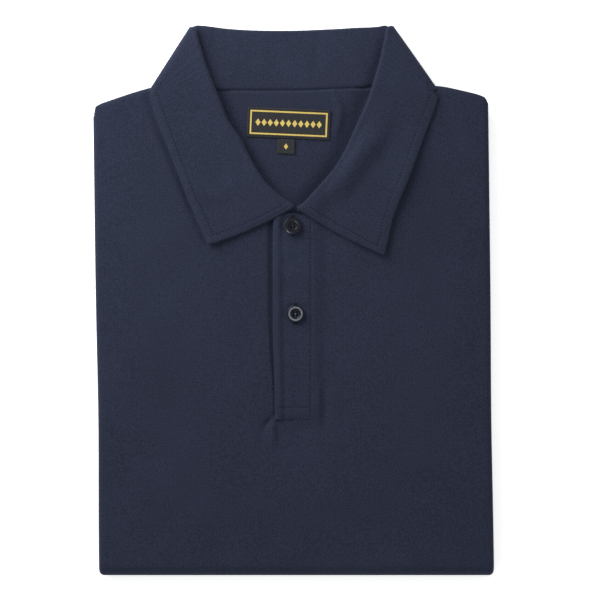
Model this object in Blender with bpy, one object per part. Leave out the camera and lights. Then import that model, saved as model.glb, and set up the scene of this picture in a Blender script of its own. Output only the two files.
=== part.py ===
"""Folded polo shirt as closed solids, in metres, +Z up, at rest on z = 0.

The shirt lies face up with its collar towards +Y. Its sides are folded behind, and its lower half is folded up
behind them, so the front panel runs round the foot of the stack and lies face down beneath it.
Sizes and tables are in millimetres and become metres where the vertices are made.
"""

import math

import bmesh
import bpy
import numpy as np
from mathutils import Vector
from mathutils.geometry import tessellate_polygon

MM = 0.001

# Cloth and seams
SEAM_GAP = 0.3
FRONT_WALL = 1.6
BACK_WALL = 1.5
COLLAR_WALL = 1.7
PLACKET_WALL = 1.6
LABEL_WALL = 1.0

# Folded stack
HALF_WIDTH = 142.1
HALF_STACK = 8.0
FOOT_Y = -197.5
HEM_Y = 135.5
LEAN = -0.0125
LEAN_SHIFT = -0.34
LEAN_FROM = 84.0
LEAN_WIDTH = 40.0
CROWN = 1.4
SHOULDER_ROLL = 1.1
SIDE_FOLD_INNER = 0.8
SIDE_TUCK = 14.0
SIDE_STEPS = 5
FOOT_STEPS = 6

# Placket: a strip on the front, over a slit in it
PLACKET_LEFT = -12.9
PLACKET_RIGHT = 13.0
PLACKET_FOOT = -84.8
PLACKET_TOP = 62.3
PLACKET_CORNER = 7.5
PLACKET_TOP_DIP = 1.4
SLIT_LEFT = -10.5
SLIT_RIGHT = PLACKET_RIGHT + SEAM_GAP
SLIT_FOOT = PLACKET_FOOT - SEAM_GAP
PLACKET_RISE = PLACKET_WALL + SEAM_GAP
RISE_REACH = 11.0
RISE_FOOT = 14.0

# Buttons
BUTTON_DIAMETER = 12.0
BUTTON_THICKNESS = 2.6
BUTTON_RIM = 1.7
BUTTON_DISH = 0.9
BUTTON_HOLE = 1.5
BUTTON_HOLE_PITCH = 2.5
BUTTON_CENTRES = ((-1.0, 53.5), (1.9, -9.9))

# Labels: centre, length and width, turn in degrees
LABEL_CENTRE = (-3.1, 126.6)
LABEL_SIZE = (59.8, 20.8)
LABEL_TURN = -1.9
SIZE_LABEL_CENTRE = (-4.8, 110.4)
SIZE_LABEL_SIZE = (13.4, 9.6)

# Collar: levels of its layers while it lies flat, and how far its back edge droops towards the table
ROLL_RADIUS = 1.6
STAND_LEVEL = (15.9, 12.7)
FALL_LEVEL = (19.1, 9.5)
EDGE_LEVEL = (17.8, 10.3)
SEAM_LEVEL = (16.0, 12.7)
DROOP = 6.3
DROOP_FROM = 150.0
DROOP_TO = 195.0
LEAF_GAP = 0.35
FRONT_EDGE_BOW = 1.6
STAND_STEPS = 3
ROLL_STEPS = 5
FALL_STEPS = 6
CREASE_ANGLES = (90, 60, 30, 0, -30, -60, -90)

# Hidden layers inside the stack
LAYERS_TOP_Y = 143.6
LAYER_NOTCH = 1.6
LAYER_BULGE = 0.5
LAYER_STAGGER = 4.0
LAYERS_SETBACK = 4.0

# Shoulder edge, left to right
SHOULDER_LINE = (
    # x, y
    (-143.5, 128.0),
    (-141.9, 131.2),
    (-141.0, 136.3),
    (-138.5, 140.9),
    (-131.7, 143.8),
    (-123.0, 146.7),
    (-114.4, 149.4),
    (-105.7, 149.4),
    (-98.0, 150.4),
    (-88.0, 154.6),
    (-82.0, 158.9),
    (81.8, 159.7),
    (88.0, 155.4),
    (98.0, 151.0),
    (105.9, 150.2),
    (111.7, 150.9),
    (120.3, 150.7),
    (129.0, 148.5),
    (136.2, 145.6),
    (139.1, 142.0),
    (140.4, 136.0),
)

# Front neckline, from the neck point down to the placket, for one side; the other side mirrors it
NECKLINE = (
    # distance from centre, y
    (82.0, 158.9),
    (79.5, 147.8),
    (74.8, 133.0),
    (65.6, 113.4),
    (51.7, 94.4),
    (36.4, 79.6),
    (21.1, 69.0),
    (13.3, 63.9),
    (10.5, 62.8),
    (0.0, 61.0),
)

# Collar sections along each front leaf, from the placket to the side crease
LEFT_LEAF = (
    # seam x, seam y, roll x, roll y, edge x, edge y, roll height, edge lift
    (0.1, 65.3, 0.1, 68.6, -58.9, 41.0, 1.6, 0.2),
    (-3.5, 65.8, -3.1, 71.8, -61.8, 41.7, 1.5, 0.2),
    (-7.8, 66.9, -7.5, 76.5, -63.8, 45.2, 1.4, 0.2),
    (-20.8, 71.8, -17.9, 87.3, -70.1, 59.2, 1.3, 0.2),
    (-35.9, 81.5, -28.0, 102.1, -76.9, 75.1, 1.2, 0.2),
    (-51.0, 95.6, -35.2, 116.8, -84.1, 93.4, 1.2, 0.2),
    (-64.7, 113.9, -43.8, 131.2, -91.3, 111.8, 1.2, 0.2),
    (-73.7, 133.4, -49.9, 146.3, -97.8, 128.3, 1.3, 0.3),
    (-78.5, 147.8, -57.5, 161.5, -102.5, 142.0, 1.3, 0.3),
    (-80.3, 156.4, -64.7, 180.2, -103.6, 147.4, 1.3, 0.4),
)
RIGHT_LEAF = (
    # seam x, seam y, roll x, roll y, edge x, edge y, roll height, edge lift
    (3.2, 63.4, 2.8, 67.6, 62.0, 34.2, 0.9, 0.8),
    (6.6, 64.6, 6.2, 69.6, 64.8, 33.2, 1.0, 1.0),
    (10.9, 66.4, 10.9, 74.4, 66.3, 37.3, 1.1, 1.4),
    (21.7, 71.6, 21.0, 85.6, 72.1, 58.5, 1.2, 2.4),
    (36.8, 81.2, 31.1, 98.1, 78.6, 75.8, 1.3, 2.8),
    (51.2, 95.6, 38.3, 111.1, 84.7, 90.5, 1.3, 2.6),
    (64.9, 113.9, 44.7, 125.5, 90.8, 107.5, 1.3, 2.0),
    (73.9, 133.4, 51.9, 141.3, 96.9, 124.7, 1.3, 1.2),
    (78.6, 147.8, 57.7, 158.6, 101.6, 137.7, 1.3, 0.7),
    (80.2, 156.4, 63.5, 179.5, 103.3, 146.0, 1.3, 0.4),
)
# Collar sections across the back of the neck
BACK_NECK = (
    # seam x, seam y, roll x, roll y, edge x, edge y
    (-72.6, 156.1, -61.1, 193.4, -87.0, 147.8),
    (-62.5, 153.0, -51.0, 192.9, -69.7, 147.1),
    (-50.3, 151.5, -38.1, 192.1, -52.5, 147.1),
    (-33.7, 151.4, -23.7, 191.5, -33.0, 147.1),
    (-16.5, 151.4, -9.3, 191.3, -15.0, 147.1),
    (0.8, 151.4, 5.1, 191.5, 2.3, 147.1),
    (18.1, 152.0, 19.5, 192.0, 19.5, 147.1),
    (35.4, 152.7, 33.9, 192.9, 37.5, 147.1),
    (51.9, 153.6, 46.2, 193.6, 54.8, 147.1),
    (63.5, 155.3, 54.8, 193.9, 70.7, 147.1),
    (72.8, 158.2, 61.3, 194.2, 87.9, 147.8),
)
# Axes of the collar's two side creases, and the outward directions there
SIDE_CREASES = (
    # seam x, seam y, roll x, roll y, edge x, edge y, side
    (-80.5, 160.7, -70.1, 192.3, -100.0, 151.4, -1.0),
    (80.4, 161.5, 66.3, 193.4, 99.6, 151.9, 1.0),
)

# Colours: base colour and roughness
FINISHES = {
    "navy_jersey": ((0.030, 0.038, 0.068, 1.0), 0.9),
    "navy_resin": ((0.020, 0.026, 0.050, 1.0), 0.3),
    "black_woven": ((0.008, 0.008, 0.008, 1.0), 0.8),
}


def clear_scene():
    """Remove every object that is already there."""
    for item in list(bpy.data.objects):
        bpy.data.objects.remove(item, do_unlink=True)


def make_material(name):
    """Return the Principled material of that name."""
    colour, roughness = FINISHES[name]
    material = bpy.data.materials.get(name)
    if material is None:
        material = bpy.data.materials.new(name)
        material.use_nodes = True
        shader = material.node_tree.nodes["Principled BSDF"]
        shader.inputs["Base Color"].default_value = colour
        shader.inputs["Roughness"].default_value = roughness
    return material


def add_object(name, mesh_data, material):
    """Make one named object from a bmesh, with its faces turned outwards."""
    bmesh.ops.remove_doubles(mesh_data, verts=mesh_data.verts, dist=0.00002)
    bmesh.ops.recalc_face_normals(mesh_data, faces=mesh_data.faces)
    mesh = bpy.data.meshes.new(name)
    mesh_data.to_mesh(mesh)
    mesh_data.free()
    item = bpy.data.objects.new(name, mesh)
    item.data.materials.append(make_material(material))
    bpy.context.collection.objects.link(item)
    return item


def shell(name, outer, inner, material, present=None):
    """Close two matching grids of points into one wall; cells that present leaves out are open."""
    rows, columns = outer.shape[:2]
    if present is None:
        present = np.ones((rows - 1, columns - 1), dtype=bool)
    data = bmesh.new()
    grids = []
    for grid in (outer, inner):
        points = {}
        for row, column in np.argwhere(present):
            for corner in ((row, column), (row, column + 1), (row + 1, column + 1), (row + 1, column)):
                if corner not in points:
                    points[corner] = data.verts.new(Vector(grid[corner]) * MM)
        grids.append(points)
    edge_use = {}
    for row, column in np.argwhere(present):
        loop = ((row, column), (row, column + 1), (row + 1, column + 1), (row + 1, column))
        data.faces.new([grids[0][corner] for corner in loop])
        data.faces.new([grids[1][corner] for corner in reversed(loop)])
        for start, end in zip(loop, loop[1:] + loop[:1]):
            if (end, start) in edge_use:
                del edge_use[(end, start)]
            else:
                edge_use[(start, end)] = True
    for start, end in edge_use:
        data.faces.new((grids[0][end], grids[0][start], grids[1][start], grids[1][end]))
    return add_object(name, data, material)


def ease(value):
    """Smooth step from 0 to 1."""
    value = np.clip(value, 0.0, 1.0)
    return value * value * (3.0 - 2.0 * value)


def lean(x, y):
    """Sideways shift of the stack's sides, which lie slightly askew to the neck."""
    return (LEAN_SHIFT + LEAN * y) * float(ease((abs(x) - LEAN_FROM) / LEAN_WIDTH))


def shoulder_y(x):
    """Y of the shoulder edge at x."""
    table = np.array(SHOULDER_LINE)
    return float(np.interp(x, table[:, 0], table[:, 1]))


def neckline_y(x):
    """Y of the front neckline at x, which lies within the neck."""
    table = np.array(NECKLINE)[::-1]
    return float(np.interp(abs(x), table[:, 0], table[:, 1]))


def back_neck_y(x):
    """Y of the back panel's neck edge at x."""
    table = [(row[0], row[1]) for row in BACK_NECK]
    table = np.array([(-82.0, 158.9)] + table + [(81.8, 159.7)])
    return float(np.interp(x, table[:, 0], table[:, 1])) - 0.6


def crown(x, y):
    """Height that the panels gain towards the middle of the stack."""
    across = max(0.0, 1.0 - (x / HALF_WIDTH) ** 2)
    along = ease((y - FOOT_Y - 6.0) / 70.0) * (1.0 - 0.6 * ease((y - 80.0) / 70.0))
    return CROWN * across * float(along)


def shoulder_roll(x, y):
    """Drop of the panels just before the shoulder edge."""
    near = min(1.0, max(0.0, 1.0 - (shoulder_y(x) - y) / 3.0))
    return SHOULDER_ROLL * near * near * float(ease((abs(x) - 88.0) / 10.0))


def placket_rise(x, y):
    """Height that the front gains where the placket's seam turns under it."""
    along = float(ease((y - SLIT_FOOT + RISE_FOOT / 2.0) / RISE_FOOT))
    reach = RISE_REACH if x > SLIT_RIGHT else RISE_REACH / 2.0
    across = float(ease(1.0 - abs(x - SLIT_RIGHT) / reach))
    return PLACKET_RISE * along * across


def front_top(x, y):
    """Outer height of the front panel, without the placket's rise."""
    return 2.0 * HALF_STACK + crown(x, y) - shoulder_roll(x, y)


def cover_top(x, y):
    """Height of what the collar's leaves lie on: front panel and placket."""
    level = 2.0 * HALF_STACK + crown(x, y)
    if 1.5 < x <= SLIT_RIGHT and y > PLACKET_FOOT:
        return level + PLACKET_RISE
    return level + (placket_rise(x, y) if x > SLIT_RIGHT else 0.0)


def front_columns():
    """Section of the front panel as (x, depth from the mid-plane, wall direction) rows, left to right."""
    radius = (HALF_STACK - SIDE_FOLD_INNER) / 2.0
    centre_x = HALF_WIDTH - radius
    side = [(centre_x - SIDE_TUCK, SIDE_FOLD_INNER, 0.0, -1.0)]
    for step in range(SIDE_STEPS + 1):
        angle = math.pi * (1.0 - step / SIDE_STEPS)
        side.append((
            centre_x + radius * math.sin(angle),
            SIDE_FOLD_INNER + radius + radius * math.cos(angle),
            math.sin(angle),
            math.cos(angle),
        ))
    flat = (-131, -124, -110, -98, -88, -82, -79.5, -74.8, -65.6, -51.7, -36.4, -21.1, SLIT_LEFT, 1.0,
            SLIT_RIGHT, 16.0, 20.0, 25.0, 36.4, 51.7, 65.6, 74.8, 79.5, 82, 88, 98, 110, 124, 131)
    left = [(-x, depth, -nx, nz) for x, depth, nx, nz in side]
    middle = [(float(x), HALF_STACK, 0.0, 1.0) for x in flat]
    return left + middle + side[::-1]


def folded_point(x, y, depth, side, rise):
    """Place a section point on the upper run, or beneath when side is -1, or round the foot for an angle."""
    if side in (1, -1):
        return (x + lean(x, y), y, HALF_STACK + side * depth + (rise if side == 1 else 0.0))
    foot = FOOT_Y + HALF_STACK
    return (x + lean(x, foot), foot - depth * math.sin(side), HALF_STACK + depth * math.cos(side))


def build_front():
    """Front panel: slit and neckline cut, side folds, foot fold and the hem beneath."""
    columns = front_columns()
    near = (0.0, 1.0, 3.0)
    shares = (0.1, 0.22, 0.36, 0.5, 0.65, 0.82, 1.0)
    lower = (-88.0, -92.5, -99.0, -112.0, -135.0, -162.0, FOOT_Y + HALF_STACK)
    beneath = (-130.0, -40.0, 50.0, 120.0, HEM_Y)
    rows = []
    for near_y in near:
        rows.append(("near", near_y))
    for share in shares:
        rows.append(("share", share))
    for level in lower:
        rows.append(("level", level))
    for step in range(1, FOOT_STEPS + 1):
        rows.append(("foot", math.pi * step / FOOT_STEPS))
    for level in beneath:
        rows.append(("beneath", level))
    outer = np.zeros((len(rows), len(columns), 3))
    inner = np.zeros_like(outer)
    for j, (x, depth, nx, nz) in enumerate(columns):
        tucked = nz < 0.0
        if abs(x) <= 82.0:
            start = neckline_y(x)
        else:
            start = shoulder_y(x)
        if tucked:
            start = shoulder_y(math.copysign(HALF_WIDTH, x)) - 0.35 * (HALF_WIDTH - abs(x))
        for i, (kind, value) in enumerate(rows):
            if kind == "near":
                y, side = start - value, 1
            elif kind == "share":
                y, side = start - 3.0 + (SLIT_FOOT - start + 3.0) * value, 1
            elif kind == "level":
                y, side = value, 1
            elif kind == "foot":
                y, side = FOOT_Y + HALF_STACK, value
            else:
                y, side = value, -1
            rise = 0.0
            if side == 1 and nz > 0.99:
                rise = crown(x, y) - shoulder_roll(x, y)
                if x >= SLIT_RIGHT or (y < SLIT_FOOT + 0.01 and x > SLIT_LEFT):
                    rise += placket_rise(x, y)
            outer[i, j] = folded_point(x, y, depth, side, rise)
            inner[i, j] = folded_point(x - nx * FRONT_WALL, y, depth - nz * FRONT_WALL, side, rise)
    xs = [column[0] for column in columns]
    slit_first = next(j for j, x in enumerate(xs) if abs(x - SLIT_LEFT) < 0.01)
    slit_last = next(j for j, x in enumerate(xs) if abs(x - SLIT_RIGHT) < 0.01)
    present = np.ones((len(rows) - 1, len(columns) - 1), dtype=bool)
    present[: len(near) + len(shares) - 1, slit_first:slit_last] = False
    return shell("front", outer, inner, "navy_jersey", present)


def back_top(x, y):
    """Inner face of the back panel, which the neck shows."""
    return front_top(x, y) - FRONT_WALL - SEAM_GAP


def build_back():
    """Back panel: lies beneath the front, from the neck and shoulder edges to the foot."""
    columns = (-131, -124, -110, -98, -88, -82, -72.6, -62.5, -50.3, -33.7, -16.5, 0.8,
               18.1, 35.4, 51.9, 63.5, 72.8, 82, 88, 98, 110, 124, 131)
    near = (0.0, 1.0, 3.0)
    levels = (0.06, 0.14, 0.24, 0.36, 0.55, 0.78, 1.0)
    foot = FOOT_Y + HALF_STACK - 1.0
    outer = np.zeros((len(near) + len(levels), len(columns), 3))
    inner = np.zeros_like(outer)
    for j, x in enumerate(columns):
        start = back_neck_y(x) if abs(x) <= 82.0 else shoulder_y(x) - 0.2
        for i in range(len(outer)):
            if i < len(near):
                y = start - near[i]
            else:
                y = start - 3.0 + (foot - start + 3.0) * levels[i - len(near)]
            top = back_top(x, y)
            outer[i, j] = (x + lean(x, y), y, top)
            inner[i, j] = (x + lean(x, y), y, top - BACK_WALL)
    return shell("back", outer, inner, "navy_jersey")


def layers_section():
    """Half-section of the hidden layers as (x, depth) rows: it fills the stack and reaches into the side folds."""
    radius = (HALF_STACK - SIDE_FOLD_INNER) / 2.0
    centre_x = HALF_WIDTH - radius
    top = HALF_STACK - FRONT_WALL - SEAM_GAP
    low = SIDE_FOLD_INNER + FRONT_WALL + SEAM_GAP
    middle = (top + low) / 2.0
    zip_x = centre_x - SIDE_TUCK - SEAM_GAP
    flange = [
        (zip_x, 0.0),
        (zip_x, low / 2.0),
        (zip_x, low),
        (centre_x - 6.0, low),
        (centre_x - 2.0, low + 0.3),
        (centre_x - 0.4, middle),
        (centre_x - 2.0, top - 0.3),
        (centre_x - 5.0, top),
    ]
    flat = (zip_x, 104.0, 84.0, 62.0, 40.0, 20.0)
    right = flange + [(x, top) for x in flat]
    left = [(-x, depth) for x, depth in right]
    return left + [(0.0, top)] + right[::-1]


def layers_top_y(x):
    """Y where the hidden layers end at x."""
    return min(LAYERS_TOP_Y, shoulder_y(x) - LAYERS_SETBACK)


def build_folded_layers():
    """Sleeves, side flaps and lower back: one rounded solid with a layered end."""
    section = layers_section()
    zip_x = section[-1][0]
    shares = (0.0, 0.02, 0.2, 0.45, 0.7, 1.0)
    foot = FOOT_Y + HALF_STACK
    upper_drop = BACK_WALL + SEAM_GAP + 0.1
    rows = [("upper", share) for share in shares]
    rows += [("foot", math.pi * step / FOOT_STEPS) for step in range(1, FOOT_STEPS)]
    rows += [("lower", share) for share in shares[::-1]]
    grid = np.zeros((len(rows), len(section), 3))
    for j, (x, depth) in enumerate(section):
        end = layers_top_y(x) if abs(x) > 1.0 else LAYERS_TOP_Y
        inside = float(ease((zip_x - abs(x)) / 12.0))
        for i, (kind, value) in enumerate(rows):
            if kind == "foot":
                drop = upper_drop * math.cos(value / 2.0) ** 2 if depth > 3.0 else 0.0
                grid[i, j] = (x + lean(x, foot), foot - (depth - drop) * math.sin(value),
                              HALF_STACK + (depth - drop) * math.cos(value))
                continue
            y = end + (foot - end) * value
            if kind == "upper":
                drop = upper_drop if depth > 3.0 else 0.0
                rise = crown(x, y) if depth > 5.0 else 0.0
                if 3.0 < depth < 5.0:
                    drop = upper_drop / 2.0
                grid[i, j] = (x + lean(x, y), y, HALF_STACK + depth - drop + rise)
            else:
                if depth > 3.0 and value < 0.3:
                    y -= LAYER_STAGGER * inside * (1.0 - value / 0.3)
                grid[i, j] = (x + lean(x, y), y, HALF_STACK - depth)
    data = bmesh.new()
    verts = [[data.verts.new(Vector(point) * MM) for point in line] for line in grid]
    for i in range(len(rows) - 1):
        for j in range(len(section) - 1):
            data.faces.new((verts[i][j], verts[i][j + 1], verts[i + 1][j + 1], verts[i + 1][j]))
    cap_layers(data, section, verts, zip_x)
    return add_object("folded_layers", data, "navy_jersey")


def cap_layers(data, section, verts, zip_x):
    """Close the collar end of the hidden layers, with a groove between each layer and the next."""
    flat = [j for j, (x, depth) in enumerate(section) if abs(x) <= zip_x + 0.01 and depth > 5.0]
    low = section[2][1]
    depths = (0.0, low, low / 2.0, 0.0, -low / 2.0, -low, 0.0)
    lines = []
    for j in flat:
        top = np.array(verts[0][j].co) / MM
        foot = np.array(verts[-1][j].co) / MM
        inside = float(ease((zip_x - abs(section[j][0])) / 12.0))
        levels = [HALF_STACK + depth for depth in depths]
        levels[0] = (top[2] + levels[1]) / 2.0
        levels[-1] = (foot[2] + levels[-2]) / 2.0
        line = [verts[0][j]]
        for step, level in enumerate(levels):
            share = (top[2] - level) / (top[2] - foot[2])
            y = top[1] + (foot[1] - top[1]) * share
            notch = LAYER_NOTCH if step % 2 else -LAYER_BULGE
            line.append(data.verts.new(Vector((top[0], y - notch * inside, level)) * MM))
        line.append(verts[-1][j])
        lines.append(line)
    for first, second in zip(lines, lines[1:]):
        for step in range(len(first) - 1):
            data.faces.new((first[step], second[step], second[step + 1], first[step + 1]))
    left = range(2, flat[0] + 1)
    right = range(len(section) - 3, flat[-1] - 1, -1)
    for group, line in ((left, lines[0]), (right, lines[-1])):
        for row, middle in ((verts[0], line[1]), (verts[-1], line[-2])):
            ring = [row[j] for j in group] + [middle]
            points = [Vector((vert.co.x, vert.co.z, 0.0)) for vert in ring]
            for triangle in tessellate_polygon([points]):
                data.faces.new([ring[corner] for corner in triangle])


def placket_top_y(x):
    """Y of the upper strip's top edge at x, with a rounded left corner."""
    inset = PLACKET_CORNER - (x - PLACKET_LEFT)
    if inset <= 0.0:
        return PLACKET_TOP - PLACKET_TOP_DIP * float(ease(x / 5.0))
    return PLACKET_TOP - PLACKET_CORNER + math.sqrt(max(0.0, PLACKET_CORNER ** 2 - inset ** 2))


def build_strip(name, columns, top_of, foot, level_of, wall):
    """A flat strip down the front between its top edge and its foot."""
    shares = (0.0, 0.02, 0.08, 0.2, 0.35, 0.5, 0.65, 0.8, 0.92, 1.0)
    outer = np.zeros((len(shares), len(columns), 3))
    inner = np.zeros_like(outer)
    for j, x in enumerate(columns):
        start = top_of(x)
        for i, share in enumerate(shares):
            y = start + (foot - start) * share
            level = level_of(x, y)
            outer[i, j] = (x, y, level)
            inner[i, j] = (x, y, level - wall)
    return shell(name, outer, inner, "navy_jersey")


def build_placket_over():
    """Upper strip: free left edge, sewn right edge."""
    columns = (PLACKET_LEFT, -12.0, -10.5, -7.0, 0.0, 2.5, 5.0, PLACKET_RIGHT)
    return build_strip("placket_over", columns, placket_top_y, PLACKET_FOOT,
                       lambda x, y: front_top(x, y) + PLACKET_RISE, PLACKET_WALL)


def build_placket_under():
    """Lower strip: fills the slit beneath the upper one."""
    columns = (SLIT_LEFT + SEAM_GAP, 0.0, 2.5, 5.0, PLACKET_RIGHT - SEAM_GAP)
    return build_strip("placket_under", columns, lambda x: placket_top_y(max(x, 0.0)) - SEAM_GAP, SLIT_FOOT + SEAM_GAP,
                       front_top, FRONT_WALL)


def droop(y):
    """Fall of the collar towards the table past the shoulders."""
    share = max(0.0, (y - DROOP_FROM) / (DROOP_TO - DROOP_FROM))
    return DROOP * share ** 1.6


def settle(point):
    """Let a point of the flat collar droop."""
    return np.array((point[0], point[1], point[2] - droop(point[1])))


def unit(vector):
    """Unit vector."""
    vector = np.array(vector, dtype=float)
    return vector / np.linalg.norm(vector)


def roll_direction(seam, roll, edge):
    """Plan direction in which the roll bulges: away from both the seam and the edge."""
    return -unit(unit(seam - roll) + unit(edge - roll))


def section_line(seam, centre, normal, bulge, fall):
    """Mid-line of one collar section: stand, roll, then the given fall points."""
    start = centre - ROLL_RADIUS * normal
    line = [seam + (start - seam) * step / STAND_STEPS for step in range(STAND_STEPS)]
    for step in range(ROLL_STEPS + 1):
        angle = math.pi * step / ROLL_STEPS
        line.append(centre + ROLL_RADIUS * (bulge * math.sin(angle) - normal * math.cos(angle)))
    return line + fall


def leaf_section(row, index):
    """One section of a front leaf from its table row."""
    seam_xy, roll_xy, edge_xy = (np.array(row[k:k + 2]) for k in (0, 2, 4))
    roll_height, lift = row[6], row[7]
    bulge_xy = roll_direction(seam_xy, roll_xy, edge_xy)
    centre_xy = roll_xy - (ROLL_RADIUS + COLLAR_WALL / 2.0) * bulge_xy
    over = LEAF_GAP + COLLAR_WALL / 2.0
    roll_level = max(FALL_LEVEL[0], cover_top(*roll_xy) + over + roll_height)
    up = np.array((0.0, 0.0, 1.0))
    bulge = np.array((*bulge_xy, 0.0))
    centre = np.array((*centre_xy, roll_level - ROLL_RADIUS))
    seam = np.array((*seam_xy, max(SEAM_LEVEL[0], front_top(*seam_xy) - 0.2)))
    bow = FRONT_EDGE_BOW * max(0.0, 1.0 - index / 3.5)
    edge_dir = unit(edge_xy - centre_xy)
    side = np.array((edge_dir[1], -edge_dir[0])) * (1.0 if edge_dir[0] > 0.0 else -1.0)
    fall = []
    for step in range(1, FALL_STEPS + 1):
        share = step / FALL_STEPS
        xy = centre_xy + (edge_xy - centre_xy) * share + side * bow * math.sin(math.pi * share)
        rest = cover_top(*xy) + over
        level = rest + (roll_level - cover_top(*roll_xy) - over) * (1.0 - share) ** 1.8 + lift * share ** 2
        fall.append(np.array((*xy, level)))
    return section_line(seam, centre, up, bulge, fall)


def crease_section(row, angle):
    """One section round a side crease; the angle runs from 90 on the leaf's side to -90 on the back's."""
    seam_xy, roll_xy, edge_xy = (np.array(row[k:k + 2]) for k in (0, 2, 4))
    turn = math.radians(angle)
    up = np.array((0.0, 0.0, 1.0))

    def outward(direction):
        plan = unit((direction[1], -direction[0]))
        plan = plan * (1.0 if plan[0] * row[6] > 0.0 else -1.0)
        return np.array((*plan, 0.0))

    def round_point(xy, levels, out):
        middle = (levels[0] + levels[1]) / 2.0
        radius = (levels[0] - levels[1]) / 2.0
        return np.array((*xy, middle)) + radius * (out * math.cos(turn) + up * math.sin(turn))

    out_seam = outward(roll_xy - seam_xy)
    out_edge = outward(roll_xy - edge_xy)
    out_roll = unit(out_seam + out_edge)
    bulge_xy = roll_direction(seam_xy, roll_xy, edge_xy)
    bulge = np.array((*bulge_xy, 0.0))
    normal = unit(out_roll * math.cos(turn) + up * math.sin(turn))
    middle = (FALL_LEVEL[0] + STAND_LEVEL[0]) / 2.0
    low = (FALL_LEVEL[1] + STAND_LEVEL[1]) / 2.0
    centre = round_point(roll_xy, (middle, low), out_roll)
    seam = round_point(seam_xy, SEAM_LEVEL, out_seam)
    fall = []
    for step in range(1, FALL_STEPS + 1):
        share = step / FALL_STEPS
        levels = [FALL_LEVEL[k] + (EDGE_LEVEL[k] - FALL_LEVEL[k]) * share for k in (0, 1)]
        out = unit(out_roll + (out_edge - out_roll) * share)
        fall.append(round_point(roll_xy + (edge_xy - roll_xy) * share, levels, out))
    return section_line(seam, centre, normal, bulge, fall)


def back_section(row):
    """One section across the back of the neck: the stand lies over the fall."""
    seam_xy, roll_xy, edge_xy = (np.array(row[k:k + 2]) for k in (0, 2, 4))
    bulge_xy = roll_direction(seam_xy, roll_xy, edge_xy)
    down = np.array((0.0, 0.0, -1.0))
    bulge = np.array((*bulge_xy, 0.0))
    centre = np.array((*roll_xy, (FALL_LEVEL[1] + STAND_LEVEL[1]) / 2.0))
    middle = 0.5 * float(ease((80.0 - abs(row[0])) / 60.0))
    seam = np.array((*seam_xy, SEAM_LEVEL[1] + middle))
    fall = []
    for step in range(1, FALL_STEPS + 1):
        share = step / FALL_STEPS
        xy = roll_xy + (edge_xy - roll_xy) * share
        fall.append(np.array((*xy, FALL_LEVEL[1] + (EDGE_LEVEL[1] - FALL_LEVEL[1]) * share)))
    return section_line(seam, centre, down, bulge, fall)


def collar_sections():
    """All collar sections, from the left front end round the back to the right front end."""
    left = [leaf_section(row, index) for index, row in enumerate(LEFT_LEAF)]
    left += [crease_section(SIDE_CREASES[0], angle) for angle in CREASE_ANGLES]
    back = [back_section(row) for row in BACK_NECK]
    right = [crease_section(SIDE_CREASES[1], angle) for angle in CREASE_ANGLES[::-1]]
    right += [leaf_section(row, index) for index, row in reversed(list(enumerate(RIGHT_LEAF)))]
    return left + back + right


def surface_normals(grid):
    """Unit normals of a grid of points."""
    cells = np.cross(grid[1:, 1:] - grid[:-1, :-1], grid[1:, :-1] - grid[:-1, 1:])
    cells = -cells / np.linalg.norm(cells, axis=2, keepdims=True)
    normals = np.zeros_like(grid)
    for row in (slice(0, -1), slice(1, None)):
        for column in (slice(0, -1), slice(1, None)):
            normals[row, column] += cells
    return normals / np.linalg.norm(normals, axis=2, keepdims=True)


def build_collar():
    """Two-ply collar: stand, roll and fall in one wall."""
    grid = np.array([[settle(point) for point in line] for line in collar_sections()])
    normals = surface_normals(grid)
    outer = grid + normals * COLLAR_WALL / 2.0
    inner = grid - normals * COLLAR_WALL / 2.0
    return shell("collar", outer, inner, "navy_jersey")


def build_label(name, centre, size, turn):
    """A small woven label that lies on the back panel inside the neck."""
    angle = math.radians(turn)
    steps = max(2, int(size[0] / 10.0))
    outer = np.zeros((3, steps + 1, 3))
    inner = np.zeros_like(outer)
    for i in range(3):
        for j in range(steps + 1):
            u = (j / steps - 0.5) * size[0]
            v = (0.5 - i / 2.0) * size[1]
            x = centre[0] + u * math.cos(angle) - v * math.sin(angle)
            y = centre[1] + u * math.sin(angle) + v * math.cos(angle)
            level = back_top(x, y) + SEAM_GAP + 0.05
            outer[i, j] = (x, y, level + LABEL_WALL)
            inner[i, j] = (x, y, level)
    return shell(name, outer, inner, "black_woven")


def circle(centre, radius, count, start=0.0):
    """Points of a circle in plan."""
    turns = [start + 2.0 * math.pi * k / count for k in range(count)]
    return [(centre[0] + radius * math.cos(t), centre[1] + radius * math.sin(t)) for t in turns]


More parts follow.
